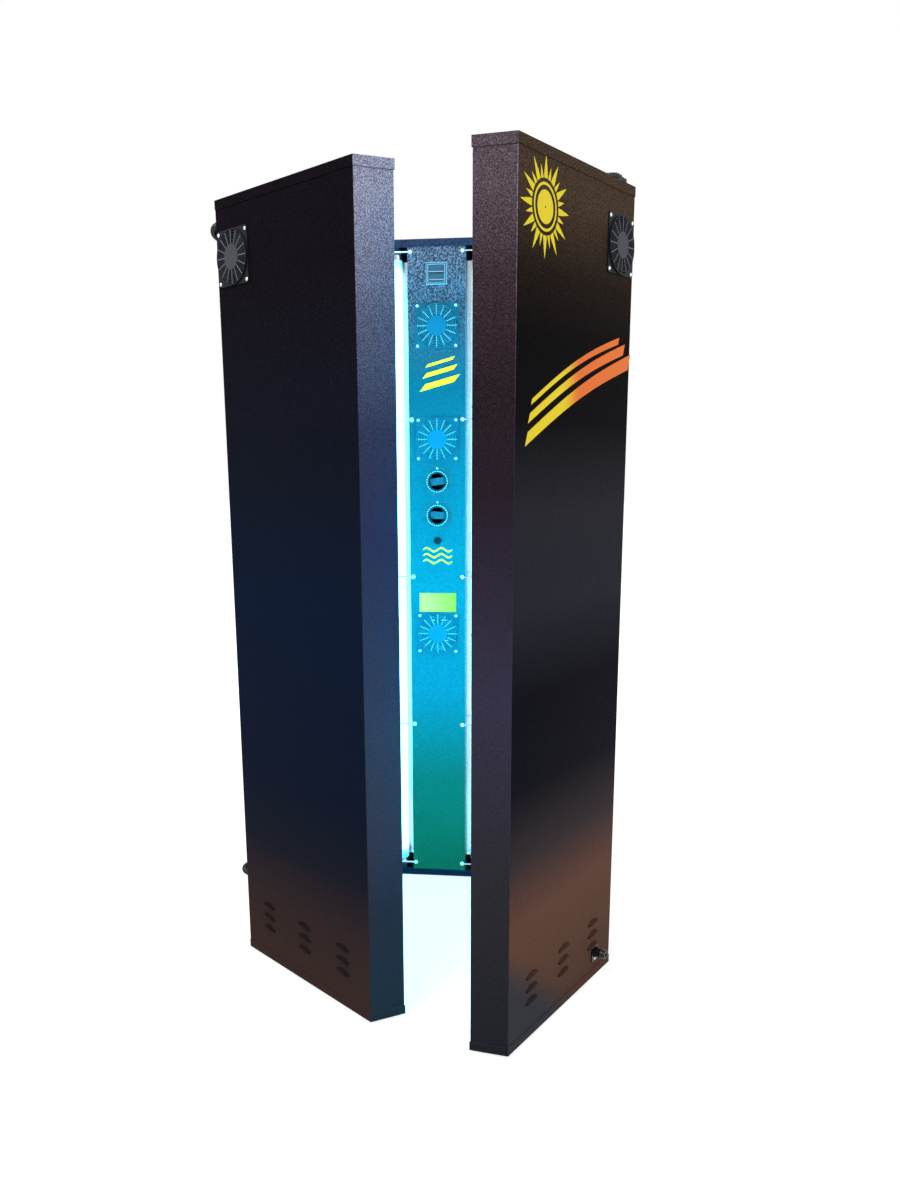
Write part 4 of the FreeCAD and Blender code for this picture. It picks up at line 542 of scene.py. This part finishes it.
def enamelledCan(name):
    # stove-enamelled steel of the ballasts: white, a little orange peel
    material, tree, shader, coords = startMaterial(name)
    peel = addNode(tree, "TexNoise", {"Vector": coords, "Scale": metre / 3.0, "Detail": 2.0})
    baseColour = addNode(tree, "Mix", {0: peel, 6: "#cfcec8", 7: "#dcdbd6"}, data_type="RGBA").outputs[2]
    roughness = addNode(tree, "MapRange", (peel, 0.3, 0.7, 0.28, 0.4), **softStep)
    relief = addNode(tree, "Bump", {"Height": peel, "Distance": 0.0002, "Strength": 0.4})
    setInputs(tree, shader, {"Base Color": baseColour, "Roughness": roughness, "Normal": relief})
    return material


def solidRubber(name):
    # solid rubber pad: dull, with a bloom that whitens it in patches
    material, tree, shader, coords = startMaterial(name)
    bloom = addNode(tree, "MapRange", (addNode(tree, "TexNoise",
                                               {"Vector": coords, "Scale": metre / 18, "Detail": 4.0}),
                                       0.45, 0.8), **softStep)
    baseColour = addNode(tree, "Mix", {0: bloom, 6: "#141414", 7: "#2b2b2a"}, data_type="RGBA").outputs[2]
    setInputs(tree, shader, {"Base Color": baseColour})
    shader.inputs["Roughness"].default_value = 0.8
    bumps = addNode(tree, "TexNoise", {"Vector": coords, "Scale": metre / 1.0})
    relief = addNode(tree, "Bump", {"Height": bumps, "Distance": 0.0002, "Strength": 0.6})
    setInputs(tree, shader, {"Normal": relief})
    return material


def labelFilm(v):
    # screen-printed polyester film: a yellow-green ground inside a thin darker border
    # it glows a little: a painted glow of the lamps' light, which is linked away from it
    material, tree, shader, coords = startMaterial("printed_film", Roughness=0.35)
    low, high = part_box("label_plate")
    middle = (low + high) / 2
    half = (high - low) / 2
    parts = addNode(tree, "SeparateXYZ", {"Vector": coords})
    edges = []
    for axis, centre, reach in (("X", middle.x, half.x), ("Z", middle.z, half.z)):
        away = addNode(tree, "Math", (addNode(tree, "Math", (parts.outputs[axis], centre),
                                              operation="SUBTRACT"), 0.0), operation="ABSOLUTE")
        inner = addNode(tree, "Math", (away, reach - v["margin"]), operation="GREATER_THAN")
        outer = addNode(tree, "Math", (away, reach - v["margin"] + v["line"]), operation="LESS_THAN")
        past = addNode(tree, "Math", (away, reach - v["margin"] + v["line"]), operation="GREATER_THAN")
        edges.append((addNode(tree, "Math", (inner, outer), operation="MULTIPLY"), past))
    line = addNode(tree, "Math", (edges[0][0], edges[1][0]), operation="MAXIMUM")
    for _, past in edges:
        line = addNode(tree, "Math", (line, addNode(tree, "Math", (1.0, past), operation="SUBTRACT")),
                       operation="MULTIPLY")
    across = addNode(tree, "MapRange", (parts.outputs["X"], middle.x - half.x, middle.x + half.x), **softStep)
    ground = addNode(tree, "Mix", {0: across, 6: v["ground"], 7: v["shade"]}, data_type="RGBA").outputs[2]
    printed = addNode(tree, "Mix", {0: line, 6: ground, 7: v["border"]}, data_type="RGBA").outputs[2]
    dull = addNode(tree, "VectorMath", {"Scale": v["dull"], 0: printed}, operation="SCALE")
    setInputs(tree, shader, {"Base Color": dull.outputs["Vector"], "Emission Color": printed})
    shader.inputs["Emission Strength"].default_value = v["glow"]
    return material


def printedVinyl(name, hinge, free, low=0, high=1, glow=0.0):
    # cut vinyl film: colour runs from one ink to the other along the panel, and may glow, a painted glow of
    # lamp light
    material, tree, shader, coords = startMaterial(name, Roughness=0.38)
    shader.inputs["Specular IOR Level"].default_value = 0.2
    x = addNode(tree, "SeparateXYZ", {"Vector": coords}).outputs["X"]
    ink = addNode(tree, "Mix", {0: addNode(tree, "MapRange", (x, low, high), **softStep), 6: free,
                                7: hinge}, data_type="RGBA").outputs[2]
    setInputs(tree, shader, {"Base Color": ink, "Emission Color": ink})
    shader.inputs["Emission Strength"].default_value = glow
    bumps = addNode(tree, "TexNoise", {"Vector": coords, "Scale": metre / 2.5})
    relief = addNode(tree, "Bump", {"Height": bumps, "Distance": 0.0001, "Strength": 0.3})
    setInputs(tree, shader, {"Normal": relief})
    return material


labelValues = {"ground": "#c6ea58", "shade": "#9ade10", "border": "#5f8f14", "dull": 0.25, "margin": 0.003,
               "line": 0.0012, "glow": 0.85}

finishes = {
    "black_sheet": powderCoat("textured_powder_coat", coatValues),
    "black_caps": powderCoat("powder_coat_caps", coatValues, rough=0.40),
    "fascia_sheet": fasciaCoat("powder_coat_fascia", fasciaValues),
    "lamp_glass": fluorescentTube(tubeValues),
    "reflector_sheet": rolledReflector("rolled_aluminium"),
    "holder_plastic": mouldedPlastic("phenolic_holder", "#0f0f10", "#1a1a1b"),
    "rod_wire": platedSteel("plated_wire"),
    "bright_screws": platedSteel("plated_screws", "#e8e9ec", 0.22),
    "ballast_cans": enamelledCan("stove_enamel"),
    "terminal_plastic": mouldedPlastic("cream_polyamide", "#cfc6ac", "#ded6c0", 2.0, 0.4),
    "timer_plastic": mouldedPlastic("timer_abs", "#051114", "#07161a", reflect=0.2),
    "fan_housing": mouldedPlastic("fan_pbt", "#0b0c0e", "#121316", reflect=0.25),
    "fan_grille": mouldedPlastic("grille_abs", "#26272c", "#34353c", 1.5, 0.42),
    "fan_blades": mouldedPlastic("blade_pbt", "#0f1013", "#17181c", 2.0, 0.3, reflect=0.3),
    "nozzle_plastic": mouldedPlastic("nozzle_abs", "#17181b", "#222328", 1.5, 0.38),
    # the vane is black ABS tinted teal with painted cyan lamp light
    "vane_plastic": mouldedPlastic("vane_abs", "#0a363d", "#0c3c43", 1.5, 0.4, reflect=0.2),
    "button_plastic": mouldedPlastic("button_abs", "#031013", "#041418", 2.0, 0.35, reflect=0.1),
    "switch_plastic": mouldedPlastic("switch_polyamide", "#1a1b1e", "#26272b", 1.5, 0.5),
    "rocker_plastic": mouldedPlastic("rocker_polycarbonate", "#0a0b0d", "#121316", 3.0, 0.2, 0.0001),
    "label_film": labelFilm(labelValues),
    "hinge_steel": powderCoat("powder_coat_hinge", coatValues, rough=0.45),
    "pin_steel": platedSteel("drawn_pin", "#9a9ca0", 0.3),
    "foot_rubber": solidRubber("rubber_pad"),
    "conduit_plastic": mouldedPlastic("conduit_nylon", "#08080a", "#131316", 2.0, 0.34, reflect=0.35),
    "gland_plastic": mouldedPlastic("gland_nylon", "#060608", "#0d0d10", 2.0, 0.3, reflect=0.35),
}
# the fixed caps' and rear casing's end faces take this darker ramp, painted shade, in place of the wings'
# painted sheen
shadedCoat = ((0.0, "#1a1c27"), (1.0, "#2a2a39"))
# finishes of single nodes, where pieces of one plastic are drawn with marks of their own
fasciaFans = [Vector((0, middleOf("fascia_fan_guards").y, high)) for high in (1.6194, 1.3157, 0.7631)]
ownFinishes = {
    "fascia_fan_guards": guardPlastic("fascia_guard_abs", fasciaFans, (1, 0, 0), guardValues, fasciaGuard),
    "left_wing_fan_guard": guardPlastic("left_guard_abs", [middleOf("left_wing_fan_guard")],
                                        alongWing("left"), guardValues, wingGuard),
    "right_wing_fan_guard": guardPlastic("right_guard_abs", [middleOf("right_wing_fan_guard")],
                                         alongWing("right"), guardValues, wingGuard),
    "fixed_caps": powderCoat("fixed_powder_coat", coatValues, leftEnd=shadedCoat, rightEnd=shadedCoat),
    "switch_frame": switchPlastic("switch_polyamide_frame", switchValues, switchValues["frame"]),
    "upper_rocker": switchPlastic("upper_rocker_polyamide", switchValues, switchValues["key"], "upper"),
    "lower_rocker": switchPlastic("lower_rocker_polyamide", switchValues, switchValues["key"], "lower"),
    "upper_nozzle": sleevePlastic("sleeve_abs", sleeveValues),
    # the nozzle flanges are black ABS tinted teal with painted cyan lamp light
    "nozzle_rings": mouldedPlastic("flange_abs", "#0b3236", "#0d383d", 1.5, 0.4, reflect=0.2),
}
ownFinishes["lower_nozzle"] = ownFinishes["upper_nozzle"]
ownFinishes["rear_casing"] = ownFinishes["fixed_caps"]
for subpart in frame["record"]["subparts"]:
    finish = ownFinishes.get(subpart["node"], finishes[subpart["material_slot"]])
    for place in frame["nodes"][subpart["node"]].material_slots:
        place.material = finish

conduitValues = {"radius": 0.009, "ribPitch": 0.0042, "ribDeep": 0.0016, "around": 24, "perRib": 6,
                 "nutRadius": 0.0125, "nutLong": 0.009, "nutRidges": 12}
# control points in metres, from the wing's end to the fixed tray's end
conduitRoutes = {
    "upper_conduit": ("left_wing", [(-0.44235, -0.48206, 1.801), (-0.47618, -0.46975, 1.801),
                                    (-0.48582, -0.42591, 1.781), (-0.46028, -0.40054, 1.781)]),
    "lower_conduit": ("left_wing", [(-0.44235, -0.48206, 0.193), (-0.47618, -0.46975, 0.193),
                                    (-0.48582, -0.42591, 0.193), (-0.46028, -0.40054, 0.193)]),
    "top_conduit": ("right_wing", [(0.44638, -0.53579, 1.843), (0.44638, -0.53579, 1.860),
                                   (0.40193, -0.51479, 1.860), (0.43034, -0.35135, 1.860),
                                   (0.43034, -0.35135, 1.843)]),
}


def smoothPath(points, count):
    # Quadratic spline inside the control points: it runs from middle to middle of their spans, tangent
    # to each span, and starts and ends at the outer two points. Gives evenly spaced points and directions.
    points = np.array(points)
    middles = (points[:-1] + points[1:]) / 2
    knots = np.concatenate([points[:1], middles[1:-1], points[-1:]])
    t = np.linspace(0, 1, 60)[:, None]
    first, corner, last = knots[:-1, None], points[1:-1, None], knots[1:, None]
    curve = (first * (1 - t) ** 2 + 2 * corner * t * (1 - t) + last * t ** 2).reshape(-1, 3)
    steps = np.linalg.norm(np.diff(curve, axis=0), axis=1)
    keep = np.concatenate([[True], steps > 1e-9])
    curve = curve[keep]
    along = np.concatenate([[0], np.cumsum(np.linalg.norm(np.diff(curve, axis=0), axis=1))])
    even = np.linspace(0, along[-1], count)
    line = np.stack([np.interp(even, along, curve[:, k]) for k in range(3)], axis=1)
    way = np.gradient(line, axis=0)
    return line, way / np.linalg.norm(way, axis=1)[:, None], along[-1]


def sweptTube(line, way, radii, around):
    # circle of a changing radius carried along a line: point = line + r (side cos a + other sin a)
    side = np.cross(way, np.array([0.0, 0.0, 1.0]) if abs(way[0, 2]) < 0.9 else np.array([1.0, 0.0, 0.0]))
    steady = np.cross(way[0], way[-1])
    if np.linalg.norm(steady) > 0.2:
        side = np.repeat(steady[None] / np.linalg.norm(steady), len(line), axis=0)
        side = side - way * np.sum(side * way, axis=1)[:, None]
    side = side / np.linalg.norm(side, axis=1)[:, None]
    other = np.cross(way, side)
    angle = np.linspace(0, 2 * pi, around, endpoint=False)
    ring = side[:, None] * np.cos(angle)[:, None] + other[:, None] * np.sin(angle)[:, None]
    return line[:, None] + ring * radii[..., None]


def closedTube(name, points, material, body):
    # a swept tube with a point in the middle of each end, so that it is closed
    rows, around = points.shape[:2]
    faces = gridFaces(rows, around, closed=True)
    ends = np.stack([points[0].mean(axis=0), points[-1].mean(axis=0)])
    first, last = rows * around, rows * around + 1
    k = np.arange(around)
    after = (k + 1) % around
    fans = [(first, int(b), int(a)) for a, b in zip(k, after)]
    base = (rows - 1) * around
    fans += [(last, int(base + a), int(base + b)) for a, b in zip(k, after)]
    return meshPiece(name, np.concatenate([points.reshape(-1, 3), ends]), [*faces.tolist(), *fans],
                     material, body)


def makeConduit(name, wing, route, v):
    _, _, length = smoothPath(route, 100)
    ribs = round(length / v["ribPitch"])
    line, way, _ = smoothPath(route, ribs * v["perRib"] + 1)
    phase = np.linspace(0, 2 * pi * ribs, len(line))
    radii = v["radius"] - v["ribDeep"] * (0.5 - 0.5 * np.cos(phase)) ** 0.7
    points = sweptTube(line, way, np.repeat(radii[:, None], v["around"], axis=1), v["around"])
    tube = closedTube(name, points, finishes["conduit_plastic"], None)
    node = "right_conduit" if wing == "right_wing" else "left_conduits"
    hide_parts(node)
    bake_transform(tube)
    ends = (("wing", route[0], route[1], wing), ("fixed", route[-1], route[-2], "fixed_unit"))
    for word, end, inside, body in ends:
        end, inside = np.array(end), np.array(inside)
        out = (inside - end) / np.linalg.norm(inside - end)
        steps = np.array([0, 0, 0.1, 0.85, 1.0, 1.0]) * v["nutLong"]
        sizes = np.array([0.0, 0.9, 1.0, 1.0, 0.88, 0.0]) * v["nutRadius"]
        ridge = 1 + 0.05 * np.cos(np.linspace(0, 2 * pi, 48, endpoint=False) * v["nutRidges"])
        points = sweptTube(end + out * steps[:, None], np.repeat(out[None], 6, axis=0),
                           sizes[:, None] * ridge[None], 48)
        closedTube(f"{name}_{word}_nut", points, finishes["gland_plastic"], body)


for name, (wing, route) in conduitRoutes.items():
    makeConduit(name, wing, route, conduitValues)
print("conduits made")

# the right wing's outer face: its corner at the hinge, and its turn from X in degrees
wingFace = {"corner": (0.480615, -0.502431), "turn": 60.038, "foot": 0.005, "lift": 0.0002}
fasciaFace = {"front": -0.0392, "foot": 0.005, "lift": 0.0002}


def onWing(along, high):
    # points of the right wing's outer face, from millimetres along it from the hinge and above its foot
    turn = radians(wingFace["turn"])
    along, high = np.asarray(along) / 1000, np.asarray(high) / 1000
    x = wingFace["corner"][0] - along * cos(turn) + wingFace["lift"] * sin(turn)
    y = wingFace["corner"][1] - along * sin(turn) - wingFace["lift"] * cos(turn)
    return np.stack([x, y, wingFace["foot"] + high], axis=-1)


def onFascia(across, high):
    across, high = np.asarray(across) / 1000, np.asarray(high) / 1000
    y = np.full(across.shape, fasciaFace["front"] - fasciaFace["lift"])
    return np.stack([across, y, fasciaFace["foot"] + high], axis=-1)


def film(name, patches, material, body):
    # flat film from several grids of points, given a little thickness
    points, faces, count = [], [], 0
    for patch in patches:
        rows, columns = patch.shape[:2]
        faces.append(gridFaces(rows, columns) + count)
        points.append(patch.reshape(-1, 3))
        count += rows * columns
    faces = np.concatenate(faces)
    piece = meshPiece(name, np.concatenate(points), faces, material, None, smooth=False)
    solidify = piece.modifiers.new("thickness", "SOLIDIFY")
    solidify.thickness = 0.00012
    solidify.offset = 1
    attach(piece, body)
    return piece


# sun on the wing: a disc, a ring and rays of two lengths, in millimetres
sunValues = {"along": 388.8, "high": 1729.5, "disc": 30, "ringIn": 38, "ringOut": 43, "rays": 12, "rayIn": 50,
             "rayLong": 92, "rayShort": 74, "rayWide": 15}


def sunPatches(v):
    turn = np.linspace(0, 2 * pi, 73)
    patches = []
    for inner, outer in ((2, v["disc"]), (v["ringIn"], v["ringOut"])):
        radius = np.linspace(inner, outer, 3)[:, None]
        patches.append((v["along"] + radius * np.cos(turn), v["high"] + radius * np.sin(turn)))
    share = np.linspace(0, 1, 9)[:, None]
    side = np.linspace(-0.5, 0.5, 3)
    for k in range(2 * v["rays"]):
        angle = pi * k / v["rays"]
        reach = v["rayShort"] if k % 2 else v["rayLong"]
        out = v["rayIn"] + (reach - v["rayIn"]) * share
        half = side * v["rayWide"] * (1 - share ** 1.4) * (0.6 if k % 2 else 0.9) + 0 * out
        patches.append((v["along"] + out * cos(angle) - half * sin(angle),
                        v["high"] + out * sin(angle) + half * cos(angle)))
    return patches


# slanted sweeps on the wing: three tapering stripes that rise towards the hinge
sweepValues = {"from": (452, 1290), "to": (8, 1456), "bow": 14, "gap": 9, "widths": (34, 24, 15),
               "stagger": 26}


def sweepPatches(v, count=40):
    share = np.linspace(0, 1, count)
    patches, above = [], 0
    for k, wide in enumerate(v["widths"]):
        start = v["from"][0] - k * v["stagger"] * 0.4
        end = v["to"][0] + k * v["stagger"]
        along = start + (end - start) * share
        run = v["from"][0] - v["to"][0]
        rise = v["from"][1] + (v["to"][1] - v["from"][1]) * (v["from"][0] - along) / run
        rise = rise + v["bow"] * np.sin(pi * share) + above
        body = wide * (0.8 + 0.2 * share)
        lower, upper = rise, rise + body
        lean = 0.35 * body
        patches.append((np.stack([along, along - lean]), np.stack([lower, upper])))
        above += wide * 0.9 + v["gap"]
    return patches


yellowVinyl = printedVinyl("yellow_vinyl", "#f2da10", "#f2da10")
sweepVinyl = printedVinyl("yellow_to_orange_vinyl", "#f5740c", "#f8dc08", 0.325, 0.365)
film("wing_sun", [onWing(*patch) for patch in sunPatches(sunValues)], yellowVinyl, "right_wing")
film("wing_sweeps", [onWing(*patch) for patch in sweepPatches(sweepValues)], sweepVinyl, "right_wing")

# on the fascia: slanted bars high up and three waves over the button, in millimetres
barValues = {"high": 1480, "rise": 26, "lean": 16, "wide": 96, "thick": (20, 14, 9), "gap": 13, "step": 8}
waveValues = {"high": 985, "wide": 84, "height": 5, "thick": 5, "gap": 17, "turns": 2.0}


def barPatches(v):
    patches, above = [], -v["gap"] - v["thick"][1]
    for k, thick in enumerate(v["thick"]):
        across = np.linspace(-v["wide"] / 2 + k * v["step"], v["wide"] / 2 - k * v["step"] * 0.3, 20)
        low = v["high"] + above + v["rise"] * across / v["wide"]
        patches.append((np.stack([across, across + v["lean"] * thick / 20]), np.stack([low, low + thick])))
        above += thick + v["gap"]
    return patches


def wavePatches(v):
    patches = []
    for k in range(3):
        across = np.linspace(-v["wide"] / 2, v["wide"] / 2, 60)
        swing = np.sin(2 * pi * v["turns"] * across / v["wide"])
        middle = v["high"] + (k - 1) * v["gap"] + v["height"] * swing
        half = v["thick"] / 2 * np.sqrt(np.clip(1 - (2 * across / v["wide"]) ** 8, 0.02, 1))
        patches.append((np.stack([across, across]), np.stack([middle - half, middle + half])))
    return patches


# the fascia's vinyl glows: painted lamp light, as the lamps are linked away from it
fasciaVinyl = printedVinyl("fascia_vinyl", "#f0e410", "#f0e410", glow=0.75)
for name, patches in (("fascia_bars", barPatches(barValues)), ("fascia_waves", wavePatches(waveValues))):
    film(name, [onFascia(*patch) for patch in patches], fasciaVinyl, "fixed_unit")
print("films made")

# the lamps shine into the booth: not on the floor, the black sheets, or what lies behind the guards; nor on
# the label and the fascia's films, which get a painted glow instead
unlit = {"rear_casing", "fixed_caps", "fascia_fan_frames", "upper_fan_rotor", "middle_fan_rotor",
         "lower_fan_rotor", "label_plate", "fascia_bars", "fascia_waves"}
unlit |= {f"{side}_wing_{part}" for side in ("left", "right")
          for part in ("casing", "caps", "fan_guard", "fan_frame", "fan_rotor", "screws")}
lit = bpy.data.collections.new("lit_by_lamps")
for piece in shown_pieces():
    if piece.name not in unlit:
        lit.objects.link(piece)
for node in ("fixed_lamps", "left_wing_lamps", "right_wing_lamps"):
    frame["nodes"][node].light_linking.receiver_collection = lit
